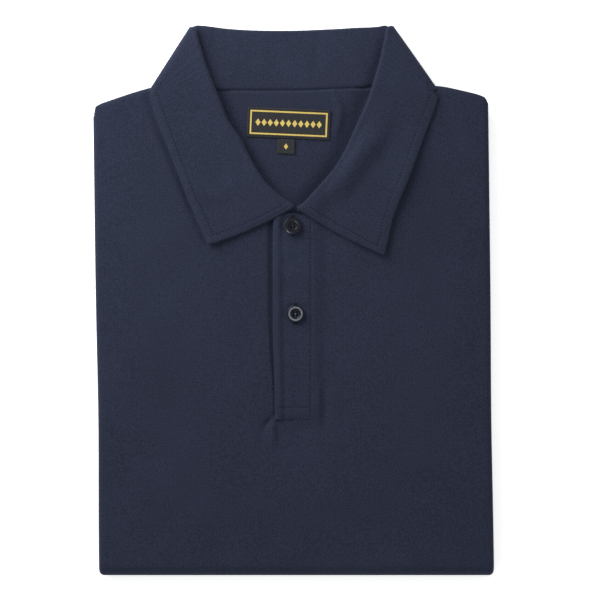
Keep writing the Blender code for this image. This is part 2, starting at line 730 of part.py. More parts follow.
def build_button(name, centre):
    """Four-hole button with a raised rim, lying on the placket."""
    segments = 28
    base = front_top(*centre) + PLACKET_RISE + SEAM_GAP
    radius = BUTTON_DIAMETER / 2.0
    profile = (
        # radius, height
        (radius - 0.9, 0.0),
        (radius, 0.9),
        (radius, BUTTON_THICKNESS - 0.7),
        (radius - 0.7, BUTTON_THICKNESS),
        (radius - BUTTON_RIM, BUTTON_THICKNESS - 0.2),
        (radius - BUTTON_RIM - 0.9, BUTTON_THICKNESS - BUTTON_DISH),
    )
    offset = BUTTON_HOLE_PITCH / 2.0
    holes = [(centre[0] + a * offset, centre[1] + b * offset) for a, b in ((1, 1), (-1, 1), (-1, -1), (1, -1))]
    data = bmesh.new()
    rings = []
    for ring_radius, height in profile:
        ring = [data.verts.new(Vector((x, y, base + height)) * MM)
                for x, y in circle(centre, ring_radius, segments)]
        rings.append(ring)
    for lower, upper in zip(rings, rings[1:]):
        for k in range(segments):
            n = (k + 1) % segments
            data.faces.new((lower[k], lower[n], upper[n], upper[k]))
    hole_rings = []
    for height in (profile[0][1], profile[-1][1]):
        level = []
        for hole in holes:
            points = circle(hole, BUTTON_HOLE / 2.0, 8)
            level.append([data.verts.new(Vector((x, y, base + height)) * MM) for x, y in points])
        hole_rings.append(level)
    for low, high in zip(*hole_rings):
        for k in range(8):
            n = (k + 1) % 8
            data.faces.new((low[k], high[k], high[n], low[n]))
    for rim, level in ((rings[0], hole_rings[0]), (rings[-1], hole_rings[1])):
        loops = [rim] + [ring[::-1] for ring in level]
        flat = [vert for loop in loops for vert in loop]
        outlines = [[Vector((vert.co.x, vert.co.y, 0.0)) for vert in loop] for loop in loops]
        for triangle in tessellate_polygon(outlines):
            data.faces.new([flat[corner] for corner in triangle])
    return add_object(name, data, "navy_resin")


def main():
    """Build every piece."""
    clear_scene()
    build_front()
    build_back()
    build_folded_layers()
    build_collar()
    build_placket_over()
    build_placket_under()
    for number, centre in enumerate(BUTTON_CENTRES, start=1):
        build_button(f"button_{number}", centre)
    build_label("label", LABEL_CENTRE, LABEL_SIZE, LABEL_TURN)
    build_label("size_label", SIZE_LABEL_CENTRE, SIZE_LABEL_SIZE, LABEL_TURN)


main()
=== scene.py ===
"""Looks of a folded cotton jersey polo shirt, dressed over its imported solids.

The shirt lies face up with its collar towards +Y. Sizes are in millimetres, and in metres for lights and camera.
"""

import logging
import math
from dataclasses import dataclass
from enum import Enum
from typing import Callable, Sequence

import bmesh
import bpy
import numpy as np
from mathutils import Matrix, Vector
from mathutils.geometry import tessellate_polygon


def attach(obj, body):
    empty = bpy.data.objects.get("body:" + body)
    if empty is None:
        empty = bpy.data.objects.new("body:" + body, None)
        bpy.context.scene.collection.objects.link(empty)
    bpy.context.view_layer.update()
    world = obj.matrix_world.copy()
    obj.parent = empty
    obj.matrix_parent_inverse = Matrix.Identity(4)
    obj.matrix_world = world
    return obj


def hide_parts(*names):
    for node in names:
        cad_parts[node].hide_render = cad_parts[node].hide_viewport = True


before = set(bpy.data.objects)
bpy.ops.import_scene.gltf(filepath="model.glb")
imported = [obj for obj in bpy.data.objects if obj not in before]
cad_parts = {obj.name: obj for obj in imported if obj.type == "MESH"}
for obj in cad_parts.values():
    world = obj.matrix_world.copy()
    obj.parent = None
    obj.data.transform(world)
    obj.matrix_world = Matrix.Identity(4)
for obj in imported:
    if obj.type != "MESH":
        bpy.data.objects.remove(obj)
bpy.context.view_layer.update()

MM = 0.001
Array = np.ndarray
LOG = logging.getLogger("polo_shirt")


class Slot(Enum):
    """Material slots of the record."""

    JERSEY = "jersey"
    RESIN = "resin"
    WOVEN = "woven"


class Side(Enum):
    """Side of the shirt as its viewer sees it."""

    LEFT = -1.0
    RIGHT = 1.0


# ---------------------------------------------------------------- numbers and curves


def ease(value: Array | float) -> Array:
    """Smooth step from 0 to 1."""
    value = np.clip(value, 0.0, 1.0)
    return value * value * (3.0 - 2.0 * value)


def bell(distance: Array | float, width: float) -> Array:
    """Soft hump that falls off over width."""
    return np.exp(-((np.asarray(distance, dtype=float) / width) ** 2))


def unit(vector: Array) -> Array:
    """Unit vectors along the last axis."""
    return vector / np.maximum(np.linalg.norm(vector, axis=-1, keepdims=True), 1e-9)


def smooth_through(knots: Sequence[float], values: Array, at: Array) -> Array:
    """Curve through values at knots that never swings past them.

    Args:
        knots: Rising places of the values.
        values: One value, or array of values, per knot, along the first axis.
        at: Places to read the curve at.

    Returns:
        The curve's values at those places.
    """
    knots = np.asarray(knots, dtype=float)
    values = np.asarray(values, dtype=float)
    at = np.asarray(at, dtype=float)
    tail = (1,) * (values.ndim - 1)
    span = np.diff(knots).reshape((-1,) + tail)
    slope = np.diff(values, axis=0) / span
    tangent = np.zeros_like(values)
    tangent[0] = slope[0]
    tangent[-1] = slope[-1]
    before, after = slope[:-1], slope[1:]
    agree = before * after > 0.0
    weight_a = 2.0 * span[1:] + span[:-1]
    weight_b = span[1:] + 2.0 * span[:-1]
    safe_before = np.where(agree, before, 1.0)
    safe_after = np.where(agree, after, 1.0)
    blended = (weight_a + weight_b) / (weight_a / safe_before + weight_b / safe_after)
    tangent[1:-1] = np.where(agree, blended, 0.0)
    index = np.clip(np.searchsorted(knots, at, side="right") - 1, 0, len(knots) - 2)
    shape = at.shape + tail
    share = np.clip((at - knots[index]) / (knots[index + 1] - knots[index]), 0.0, 1.0).reshape(shape)
    width = (knots[index + 1] - knots[index]).reshape(shape)
    h00 = (1.0 + 2.0 * share) * (1.0 - share) ** 2
    h10 = share * (1.0 - share) ** 2
    h01 = share ** 2 * (3.0 - 2.0 * share)
    h11 = share ** 2 * (share - 1.0)
    return (h00 * values[index] + h10 * width * tangent[index]
            + h01 * values[index + 1] + h11 * width * tangent[index + 1])


def read_table(table: Sequence[tuple[float, float]], at: Array) -> Array:
    """Read a table of rising places and their values along a smooth curve."""
    places, values = np.array(table).T
    return smooth_through(places, values, at)


def steps_between(stops: Sequence[float], pitch: float) -> Array:
    """Places from the first stop to the last, through every stop, no further apart than pitch.

    Args:
        stops: Places that are kept.
        pitch: Widest step.

    Returns:
        The places.
    """
    places = [float(stops[0])]
    for start, end in zip(stops, stops[1:]):
        count = max(1, math.ceil(abs(end - start) / pitch - 1e-6))
        places += [start + (end - start) * (k + 1) / count for k in range(count)]
    return np.array(places)


@dataclass(frozen=True)
class Crease:
    """A soft ridge or trough along a line on the cloth.

    Fields:
        path: Plan points that it runs through, in mm.
        rise: Height of a ridge, or negative depth of a trough, in mm.
        width: Distance over which it fades, in mm.
        start: Share of the height left at the first point.
        end: Share of the height left at the last point.
        uneven: How much its height wavers along it.
    """

    path: tuple[tuple[float, float], ...]
    rise: float
    width: float
    start: float = 0.0
    end: float = 0.0
    uneven: float = 0.2

    def height(self, x: Array, y: Array) -> Array:
        """Height that this crease adds.

        Args:
            x: Places across.
            y: Places along.

        Returns:
            The height at those places.
        """
        knots = np.arange(len(self.path), dtype=float)
        fine = smooth_through(knots, np.array(self.path), np.linspace(0.0, knots[-1], 6 * len(self.path)))
        best, along = np.full(np.shape(x), np.inf), np.zeros(np.shape(x))
        for k, (first, last) in enumerate(zip(fine, fine[1:])):
            dx, dy = last - first
            share = np.clip(((x - first[0]) * dx + (y - first[1]) * dy) / (dx * dx + dy * dy), 0.0, 1.0)
            distance = np.hypot(x - first[0] - share * dx, y - first[1] - share * dy)
            along = np.where(distance < best, (k + share) / (len(fine) - 1), along)
            best = np.minimum(distance, best)
        head = self.start + (1.0 - self.start) * ease(along / 0.35)
        tail = self.end + (1.0 - self.end) * ease((1.0 - along) / 0.35)
        waver = 1.0 + self.uneven * np.sin(9.0 * along + self.path[0][0])
        return self.rise * bell(best, self.width) * head * tail * waver


def creased(creases: Sequence[Crease], x: Array, y: Array) -> Array:
    """Sum of the heights of several creases at x, y."""
    return sum(crease.height(x, y) for crease in creases)


# ---------------------------------------------------------------- meshes


def link_mesh(name: str, points: Array, faces: list[list[int]], weave: Array | None = None,
              weld: float = 0.0) -> bpy.types.Object:
    """Make one smooth-shaded mesh object whose faces point outwards.

    Args:
        name: Name of the piece.
        points: Vertex places in mm.
        faces: Vertex numbers of each face.
        weave: Place of each vertex on the flat cloth, in mm, for the weave and prints.
        weld: Distance in mm within which vertices become one.

    Returns:
        The linked object.
    """
    mesh = bpy.data.meshes.new(name)
    mesh.from_pydata((np.asarray(points) * MM).tolist(), [], faces)
    if weave is not None:
        layer = mesh.attributes.new("weave", "FLOAT_VECTOR", "POINT")
        layer.data.foreach_set("vector", (np.asarray(weave, dtype=np.float32) * MM).ravel())
    data = bmesh.new()
    data.from_mesh(mesh)
    if weld > 0.0:
        bmesh.ops.remove_doubles(data, verts=data.verts, dist=weld * MM)
        bmesh.ops.recalc_face_normals(data, faces=data.faces)
    if data.calc_volume(signed=True) < 0.0:
        bmesh.ops.reverse_faces(data, faces=data.faces)
    data.to_mesh(mesh)
    data.free()
    mesh.polygons.foreach_set("use_smooth", np.ones(len(mesh.polygons), dtype=bool))
    item = bpy.data.objects.new(name, mesh)
    bpy.context.collection.objects.link(item)
    return item


def grid_quads(present: Array, columns: int) -> Array:
    """Corner numbers of the present cells of a grid, as (cells, 4)."""
    first = np.argwhere(present) @ (columns, 1)
    return np.stack([first, first + 1, first + columns + 1, first + columns], axis=1)


def cloth_shell(name: str, outer: Array, inner: Array, weave: Array, present: Array | None = None,
                rim_bulge: float = 0.42, rim_steps: int = 4) -> bpy.types.Object:
    """Close two matching grids into one cloth with rounded edges.

    Args:
        name: Name of the piece.
        outer: Points of the face side, (rows, columns, 3).
        inner: Points of the wrong side, matching outer.
        weave: Place of each point on the flat cloth, (rows, columns, 2).
        present: Cells that are cloth; the others are open.
        rim_bulge: How far an edge rounds out, as a share of the wall.
        rim_steps: Faces across each edge.

    Returns:
        The linked object.
    """
    rows, columns = outer.shape[:2]
    if present is None:
        present = np.ones((rows - 1, columns - 1), dtype=bool)
    quads = grid_quads(present, columns)
    used = np.unique(quads)
    number = np.full(rows * columns, -1)
    number[used] = np.arange(len(used))
    quads = number[quads]
    top = outer.reshape(-1, 3)[used]
    low = inner.reshape(-1, 3)[used]
    flat = np.pad(weave.reshape(-1, 2)[used], ((0, 0), (0, 1)))
    count = len(used)
    starts = quads.ravel()
    ends = np.roll(quads, -1, axis=1).ravel()
    open_edge = ~np.isin(starts.astype(np.int64) * count + ends, ends.astype(np.int64) * count + starts)
    cell_middle = np.repeat(top[quads].mean(axis=1), 4, axis=0)
    starts, ends, cell_middle = starts[open_edge], ends[open_edge], cell_middle[open_edge]
    along = unit(top[ends] - top[starts])
    away = (top[starts] + top[ends]) / 2.0 - cell_middle
    across = unit(top[starts] - low[starts])
    away = away - along * np.sum(away * along, axis=1, keepdims=True)
    away = unit(away - across * np.sum(away * across, axis=1, keepdims=True))
    outward = np.zeros_like(top)
    np.add.at(outward, starts, away)
    np.add.at(outward, ends, away)
    rim = np.unique(np.concatenate([starts, ends]))
    outward = unit(outward[rim])
    rim_number = np.full(count, -1)
    rim_number[rim] = np.arange(len(rim))
    middle = (top[rim] + low[rim]) / 2.0
    half = (top[rim] - low[rim]) / 2.0
    wall = 2.0 * np.linalg.norm(half, axis=1, keepdims=True)
    points = [top, low]
    weaves = [flat, flat]
    for step in range(1, rim_steps):
        angle = math.pi * step / rim_steps
        points.append(middle + half * math.cos(angle) + outward * wall * rim_bulge * math.sin(angle))
        weaves.append(flat[rim])
    faces = quads.tolist() + (quads[:, ::-1] + count).tolist()

    def ring(step: int, vertex: Array) -> Array:
        """Numbers of the rim vertices at a step across the edge.

        Args:
            step: Step across the edge, 0 on the face side.
            vertex: Numbers of vertices on the rim.

        Returns:
            Their numbers at that step.
        """
        if step == 0:
            return vertex
        if step == rim_steps:
            return vertex + count
        return 2 * count + (step - 1) * len(rim) + rim_number[vertex]

    for step in range(rim_steps):
        corners = (ring(step, ends), ring(step, starts), ring(step + 1, starts), ring(step + 1, ends))
        faces += np.stack(corners, axis=1).tolist()
    return link_mesh(name, np.concatenate(points), faces, np.concatenate(weaves))


def surface_normals(grid: Array) -> Array:
    """Unit normals of a grid of points.

    Args:
        grid: The points, (rows, columns, 3).

    Returns:
        The normals, matching grid.
    """
    cells = unit(np.cross(grid[1:, 1:] - grid[:-1, :-1], grid[1:, :-1] - grid[:-1, 1:])) * -1.0
    normals = np.zeros_like(grid)
    for row in (slice(0, -1), slice(1, None)):
        for column in (slice(0, -1), slice(1, None)):
            normals[row, column] += cells
    return unit(normals)


def run_lengths(grid: Array, axis: int) -> Array:
    """Distance run along one axis of a grid of points."""
    run = np.cumsum(np.linalg.norm(np.diff(grid, axis=axis), axis=2), axis=axis)
    return np.insert(run, 0, 0.0, axis=axis)


# ---------------------------------------------------------------- the folded shirt's own shape

# Ends of the neck; the shoulder edge, left to right, through them; and the front neckline for one side
NECK_ENDS = ((-82.0, 158.9), (81.8, 159.7))
SHOULDER_LINE = (
    # x, y
    (-141.2, 131.9), (-140.9, 136.9), (-139.8, 138.9), (-137.7, 140.1), (-135.5, 141.2), (-131.2, 142.7),
    (-103.2, 152.0), (-97.5, 153.6), (-88.0, 157.0), *NECK_ENDS, (88.0, 157.4), (94.0, 155.2), (99.0, 153.8),
    (104.9, 153.5), (128.8, 149.0), (136.0, 147.0), (138.6, 145.9), (140.5, 144.0), (141.5, 141.8),
)
NECKLINE = (
    # distance from centre, y
    (0.0, 61.0), (10.5, 62.8), (13.3, 63.9), (21.1, 69.0), (36.4, 79.6), (51.7, 94.4), (65.6, 113.4),
    (74.8, 133.0), (79.5, 147.8), (82.0, 158.9),
)

# The front's dip beside the placket's free edge at each y: depth, where its bank starts, and the bank's width
GAP_DEPTH = ((-92.0, 0.0), (-84.0, 0.5), (-68.0, 0.8), (-50.0, 1.2), (-30.0, 1.5), (40.0, 1.8), (62.0, 2.4))
GAP_BANK = ((-92.0, -14.6), (-60.0, -15.2), (-45.0, -17.0), (-28.0, -18.2), (0.0, -19.6), (62.0, -20.0))
GAP_WIDTH = ((-92.0, 1.2), (-64.0, 1.4), (-45.0, 2.4), (-22.0, 3.4), (0.0, 4.4), (62.0, 4.8))

# Collar sections along each front leaf, from the placket to the side crease
LEFT_LEAF = (
    # seam x, seam y, roll x, roll y, edge x, edge y, roll height, edge lift
    (0.1, 65.3, 0.1, 68.6, -58.9, 41.0, 2.6, 3.5),
    (-3.5, 65.8, -3.9, 71.2, -61.2, 41.6, 2.5, 3.2),
    (-7.8, 66.9, -9.7, 75.2, -62.6, 44.8, 2.4, 2.6),
    (-20.8, 71.8, -20.5, 85.7, -68.6, 58.7, 2.3, 1.6),
    (-35.9, 81.5, -30.1, 100.8, -75.4, 74.6, 2.2, 1.2),
    (-51.0, 95.6, -37.3, 115.5, -82.6, 92.9, 2.2, 1.0),
    (-64.7, 113.9, -46.9, 129.9, -89.8, 111.3, 2.2, 0.9),
    (-73.7, 133.4, -53.0, 145.5, -96.3, 127.8, 2.3, 0.8),
    (-78.5, 147.8, -59.6, 161.2, -101.2, 141.6, 2.3, 0.7),
    (-80.3, 156.4, -66.3, 180.8, -102.9, 147.3, 2.3, 0.5),
)
RIGHT_LEAF = (
    # seam x, seam y, roll x, roll y, edge x, edge y, roll height, edge lift
    (3.2, 63.4, 2.8, 67.6, 62.0, 34.2, 1.5, 3.0),
    (6.6, 64.6, 6.2, 69.6, 64.2, 33.4, 1.4, 3.0),
    (10.9, 66.4, 10.9, 74.4, 65.5, 37.4, 1.4, 2.8),
    (21.7, 71.6, 21.0, 85.6, 70.6, 58.9, 1.4, 2.5),
    (36.8, 81.2, 31.1, 98.1, 77.1, 76.2, 1.4, 2.6),
    (51.2, 95.6, 38.3, 111.1, 83.2, 90.9, 1.4, 2.4),
    (64.9, 113.9, 44.7, 125.5, 89.4, 107.9, 1.4, 2.0),
    (73.9, 133.4, 51.9, 141.3, 95.7, 125.1, 1.4, 1.3),
    (78.6, 147.8, 57.7, 158.6, 100.7, 138.0, 1.3, 0.9),
    (80.2, 156.4, 63.5, 179.5, 102.8, 146.1, 1.3, 0.5),
)
# Collar sections across the back of the neck
BACK_NECK = (
    # seam x, seam y, roll x, roll y, edge x, edge y
    (-76.4, 158.4, -66.4, 196.2, -94.0, 149.2), (-72.6, 156.1, -61.1, 195.6, -87.0, 147.8),
    (-62.5, 153.0, -51.0, 194.2, -69.7, 147.1), (-50.3, 151.5, -38.1, 193.1, -52.5, 147.1),
    (-33.7, 151.4, -23.7, 192.5, -33.0, 147.1), (-16.5, 151.4, -9.3, 192.3, -15.0, 147.1),
    (0.8, 151.4, 5.1, 192.5, 2.3, 147.1), (18.1, 152.0, 19.5, 193.1, 19.5, 147.1),
    (35.4, 152.7, 33.9, 193.8, 37.5, 147.1), (51.9, 153.6, 46.2, 194.6, 54.8, 147.1),
    (63.5, 155.3, 54.8, 194.9, 70.7, 147.1), (72.8, 158.2, 61.3, 195.4, 87.9, 147.8),
    (76.6, 159.8, 64.4, 196.0, 94.0, 149.2),
)
# Axes of the collar's two side creases
SIDE_CREASES = {
    # seam x, seam y, roll x, roll y, edge x, edge y
    Side.LEFT: (-80.5, 160.7, -70.6, 193.6, -99.9, 148.8),
    Side.RIGHT: (80.4, 161.5, 67.6, 194.3, 99.2, 150.2),
}

# Where the back roll meets the side creases: x, how far it is drawn back, and how far it is drawn outwards
BACK_CORNERS = ((-69.0, 2.1, -2.0), (65.9, 1.2, 1.4))

# Soft creases of the front; those beneath are troughs, because that side lies on the table
FRONT_CREASES = (
    Crease(((-103.6, 147.0), (-97.4, 126.8), (-90.9, 110.3), (-83.7, 91.9), (-76.5, 73.7), (-69.8, 57.7),
            (-63.0, 42.0)), -2.5, 2.4, 0.5, 0.5, 0.05),
    Crease(((-13.9, -82.6), (-17.6, -86.0), (-20.3, -89.5), (-22.2, -95.5), (-23.0, -109.0)), -1.4, 1.7, start=0.8),
    Crease(((-12.8, -85.0), (-14.8, -91.0), (-15.4, -99.0), (-15.0, -109.0)), 0.9, 2.3, start=0.7),
    Crease(((-11.2, -87.0), (-10.0, -95.0), (-9.0, -107.0)), -0.8, 2.1, start=0.5),
    Crease(((18.0, -56.0), (18.2, -74.0), (18.2, -96.0)), 0.6, 2.0),
    Crease(((22.0, -54.0), (22.2, -78.0), (22.4, -98.0)), -0.65, 2.8),
    Crease(((30.0, -40.0), (29.0, -80.0), (33.0, -118.0)), 0.35, 6.0),
    Crease(((-22.0, -145.0), (-17.0, -170.0), (-14.0, -192.0)), -0.4, 5.0),
    Crease(((-6.0, -138.0), (-3.0, -168.0), (2.0, -192.0)), 0.3, 6.0),
    Crease(((-118.0, 60.0), (-96.0, 20.0), (-88.0, -40.0)), 0.35, 13.0),
    Crease(((-52.0, 6.0), (-46.0, -24.0), (-54.0, -66.0)), 0.35, 11.0),
    Crease(((96.0, 20.0), (92.0, -18.0), (104.0, -64.0)), 0.35, 11.0),
    Crease(((46.0, -110.0), (84.0, -132.0), (124.0, -138.0)), -0.4, 12.0),
    Crease(((-120.0, -96.0), (-84.0, -120.0), (-52.0, -126.0)), -0.35, 12.0),
    Crease(((-128.0, -150.0), (-92.0, -166.0), (-58.0, -184.0)), 0.3, 10.0),
    Crease(((104.0, 141.0), (116.0, 122.0), (124.0, 92.0)), -0.45, 6.0),
    Crease(((-112.0, 138.0), (-118.0, 118.0), (-126.0, 92.0)), -0.35, 6.0),
    Crease(((88.0, 70.0), (106.0, 64.0), (128.0, 66.0)), 0.3, 9.0),
)
BENEATH_CREASES = (
    Crease(((-96.0, -150.0), (-70.0, -96.0), (-58.0, -30.0)), 0.5, 7.0),
    Crease(((82.0, -160.0), (70.0, -90.0), (88.0, -20.0)), 0.5, 7.0),
    Crease(((-20.0, 20.0), (4.0, 56.0), (-6.0, 96.0)), 0.45, 8.0),
    Crease(((-118.0, 40.0), (-92.0, 70.0), (-60.0, 84.0)), 0.45, 8.0),
    Crease(((110.0, 30.0), (84.0, 62.0), (52.0, 74.0)), 0.45, 8.0),
    Crease(((20.0, -140.0), (36.0, -110.0), (30.0, -60.0)), 0.4, 6.0),
)
# Creases of the back panel inside the neck
BACK_CREASES = (
    Crease(((57.0, 152.0), (50.5, 139.0), (43.0, 119.5), (32.0, 98.0), (24.5, 87.0), (15.5, 75.5), (8.0, 68.0)),
           -3.0, 7.5, 0.8, 0.7, 0.1),
    Crease(((-55.0, 150.0), (-43.0, 125.0), (-32.0, 104.0), (-21.0, 86.0), (-9.0, 72.0)), -3.1, 7.0, 0.7, 0.7, 0.1),
    Crease(((28.0, 151.0), (33.5, 135.0), (25.0, 106.0)), 1.1, 2.6, start=0.5),
    Crease(((34.5, 150.0), (38.5, 134.0), (31.0, 110.0)), -0.5, 2.8, start=0.4),
    Crease(((-41.0, 150.0), (-40.0, 134.0), (-30.0, 112.0)), 0.4, 3.0),
    Crease(((-12.0, 104.0), (4.0, 99.0), (15.0, 103.0)), 0.35, 3.2),
)
# Creases of the collar's leaves and of the back stand
LEAF_CREASES = (
    Crease(((67.0, 136.0), (56.8, 115.8), (45.5, 101.2), (32.6, 83.4), (19.5, 73.0)), 3.2, 8.5, 0.2, 0.3, 0.1),
    Crease(((76.0, 126.0), (66.2, 108.2), (55.0, 93.6), (42.0, 75.8), (30.0, 66.0)), -0.7, 6.0, 0.3, 0.2, 0.1),
    Crease(((90.0, 118.0), (84.0, 98.0), (77.0, 78.0), (70.0, 56.0)), 1.3, 6.0, 0.2, 0.3, 0.1),
    Crease(((-66.0, 143.0), (-68.0, 137.0), (-69.5, 130.0)), -0.55, 5.0),
    Crease(((-86.0, 108.0), (-74.0, 96.0), (-56.0, 88.0), (-44.0, 84.0)), -0.4, 7.0),
    Crease(((-72.0, 74.0), (-56.0, 66.0), (-36.0, 74.0)), -0.35, 6.0),
    Crease(((-80.0, 90.0), (-62.0, 76.0), (-40.0, 70.0)), 0.3, 6.0),
)
STAND_CREASES = (
    Crease(((67.5, 192.0), (62.0, 170.0), (55.0, 152.0)), -2.0, 4.0, 0.6, 0.8, 0.1),
    Crease(((-57.5, 194.0), (-57.0, 184.0), (-56.0, 172.0)), -0.7, 2.4, start=0.7),
    Crease(((17.5, 194.0), (17.0, 176.0), (16.0, 154.0)), -0.45, 3.2, start=0.6),
    Crease(((-20.0, 193.0), (-22.0, 176.0), (-25.0, 156.0)), 0.3, 6.0, start=0.5),
    Crease(((42.0, 194.0), (46.0, 176.0), (50.0, 158.0)), 0.35, 5.0, start=0.5),
)
# Drag lines of the placket between its buttons
PLACKET_CREASES = (
    Crease(((-8.6, 49.0), (-9.0, 40.0), (-6.6, 30.0)), -0.35, 1.7, start=0.5),
    Crease(((-4.6, 47.0), (-4.0, 38.0), (-6.0, 31.0)), 0.3, 2.0, start=0.4),
    Crease(((-6.0, 22.0), (0.6, 29.0), (7.0, 31.0)), -0.35, 2.6),
    Crease(((-7.0, 14.0), (-0.6, 19.0), (7.0, 21.0)), 0.32, 3.0),
    Crease(((-8.0, 4.0), (-1.6, 9.0), (6.0, 11.0)), -0.3, 2.6),
    Crease(((2.0, 46.0), (6.0, 39.0), (8.0, 28.0)), 0.25, 2.4),
    Crease(((-9.0, -24.0), (-4.0, -20.0), (2.0, -20.0)), -0.25, 2.2),
    Crease(((-6.0, -40.0), (2.0, -46.0), (8.0, -58.0)), 0.2, 3.4),
)


# Centres of the buttons, and how far each leans along x and y
BUTTON_CENTRES = ((-0.6, 53.6), (1.3, -9.5))
BUTTON_TILTS = ((-0.10, -0.09), (0.006, 0.008))


@dataclass(frozen=True)
class FoldedStack:
    """The folded shirt's shape, which every piece lies on. Lengths are in mm."""

    half_width: float = 142.1
    half_height: float = 8.0
    foot_y: float = -197.9
    hem_y: float = 135.5
    lean_slope: float = -0.0125
    lean_shift: float = -0.34
    lean_from: float = 84.0
    lean_width: float = 40.0
    waist_pull: float = 0.85
    waist_y: float = -84.0
    waist_width: float = 62.0
    crown_height: float = 1.4
    shoulder_drop: float = 1.1
    fold_inner: float = 0.8
    side_tuck: float = 14.0
    front_wall: float = 1.6
    back_wall: float = 1.5
    seam_gap: float = 0.3
    slit_left: float = -10.5
    slit_right: float = 13.3
    slit_foot: float = -85.1
    placket_rise_height: float = 1.9
    rise_reach: float = 11.0
    rise_foot: float = 14.0
    neck_half: float = 82.0

    @property
    def foot(self) -> float:
        """Y of the axis that the lower half is folded round."""
        return self.foot_y + self.half_height

    @property
    def fold_radius(self) -> float:
        """Radius of the side folds."""
        return (self.half_height - self.fold_inner) / 2.0

    def lean(self, x: Array, y: Array | float) -> Array:
        """Sideways shift of the stack's sides, which lie slightly askew to the neck."""
        lean = self.lean_shift + self.lean_slope * y + self.waist(x, y)
        return lean * ease((np.abs(x) - self.lean_from) / self.lean_width)

    def waist(self, x: Array, y: Array | float) -> Array:
        """Pull of both sides towards the middle at the waist."""
        return self.waist_pull * np.where(x < 0.0, 1.0, -0.7) * bell(y - self.waist_y, self.waist_width)

    def shoulder_y(self, x: Array) -> Array:
        """Y of the shoulder edge at x."""
        return read_table(SHOULDER_LINE, x)

    def neckline_y(self, x: Array) -> Array:
        """Y of the front neckline at x."""
        return read_table(NECKLINE, np.abs(x))

    def back_neck_y(self, x: Array) -> Array:
        """Y of the back panel's neck edge at x, just inside the collar's seam."""
        seam = np.array([NECK_ENDS[0], *(row[:2] for row in BACK_NECK), NECK_ENDS[1]])
        return np.interp(x, seam[:, 0], seam[:, 1]) - 0.6

    def neck_seam_depth(self, x: Array) -> Array:
        """Depth of the groove where the collar is sewn to the back panel; it gapes beside the right leaf."""
        return 1.4 + 1.4 * ease((x - 40.0) / 14.0)

    def crown(self, x: Array, y: Array) -> Array:
        """Height that the panels gain towards the middle of the stack."""
        along = ease((y - self.foot_y - 6.0) / 70.0) * (1.0 - 0.6 * ease((y - 80.0) / 70.0))
        return self.crown_height * np.maximum(0.0, 1.0 - (x / self.half_width) ** 2) * along

    def shoulder_roll(self, x: Array, y: Array) -> Array:
        """Drop of the panels just before the shoulder edge."""
        near = np.clip(1.0 - (self.shoulder_y(x) - y) / 3.0, 0.0, 1.0)
        return self.shoulder_drop * near * near * ease((np.abs(x) - 88.0) / 10.0)

    def placket_rise(self, x: Array, y: Array) -> Array:
        """Height that the front gains where the placket's seam turns under it."""
        away, along = (x - self.slit_right) / self.rise_reach, (y - self.slit_foot) / self.rise_foot
        return self.placket_rise_height * ease(1.0 - np.maximum(away, -2.0 * away)) * ease(along + 0.5)

    def relief(self, x: Array, y: Array) -> Array:
        """Height of the front's creases, which fade out before the side folds."""
        return creased(FRONT_CREASES, x, y) * ease((self.half_width - 4.0 - np.abs(x)) / 9.0)

    def front_top(self, x: Array, y: Array) -> Array:
        """Outer height of the front panel, without the placket's rise."""
        return 2.0 * self.half_height + self.crown(x, y) - self.shoulder_roll(x, y) + self.relief(x, y)

    def cover_top(self, x: Array, y: Array) -> Array:
        """Height of what the collar's leaves lie on: front panel and placket.

        Args:
            x: Places across.
            y: Places along.

        Returns:
            The height at those places.
        """
        on_strip = (x > 1.5) & (x <= self.slit_right) & (y > self.slit_foot)
        beside = np.where(x > self.slit_right, self.placket_rise(x, y), 0.0)
        level = 2.0 * self.half_height + self.crown(x, y) + self.relief(x, y)
        return level + np.where(on_strip, self.placket_rise_height, beside)

    def back_top(self, x: Array, y: Array) -> Array:
        """Inner face of the back panel, which the neck shows."""
        return self.front_top(x, y) - self.front_wall - self.seam_gap


def dressed(item: bpy.types.Object, material: bpy.types.Material, slot: Slot, *nodes: str) -> bpy.types.Object:
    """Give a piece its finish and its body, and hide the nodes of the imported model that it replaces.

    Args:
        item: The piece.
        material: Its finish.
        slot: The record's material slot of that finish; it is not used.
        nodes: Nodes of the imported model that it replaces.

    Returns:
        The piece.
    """
    item.data.materials.append(material)
    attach(item, "root")
    if nodes:
        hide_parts(*nodes)
    LOG.info("%s: %d faces", item.name, len(item.data.polygons))
    return item


# ---------------------------------------------------------------- panels


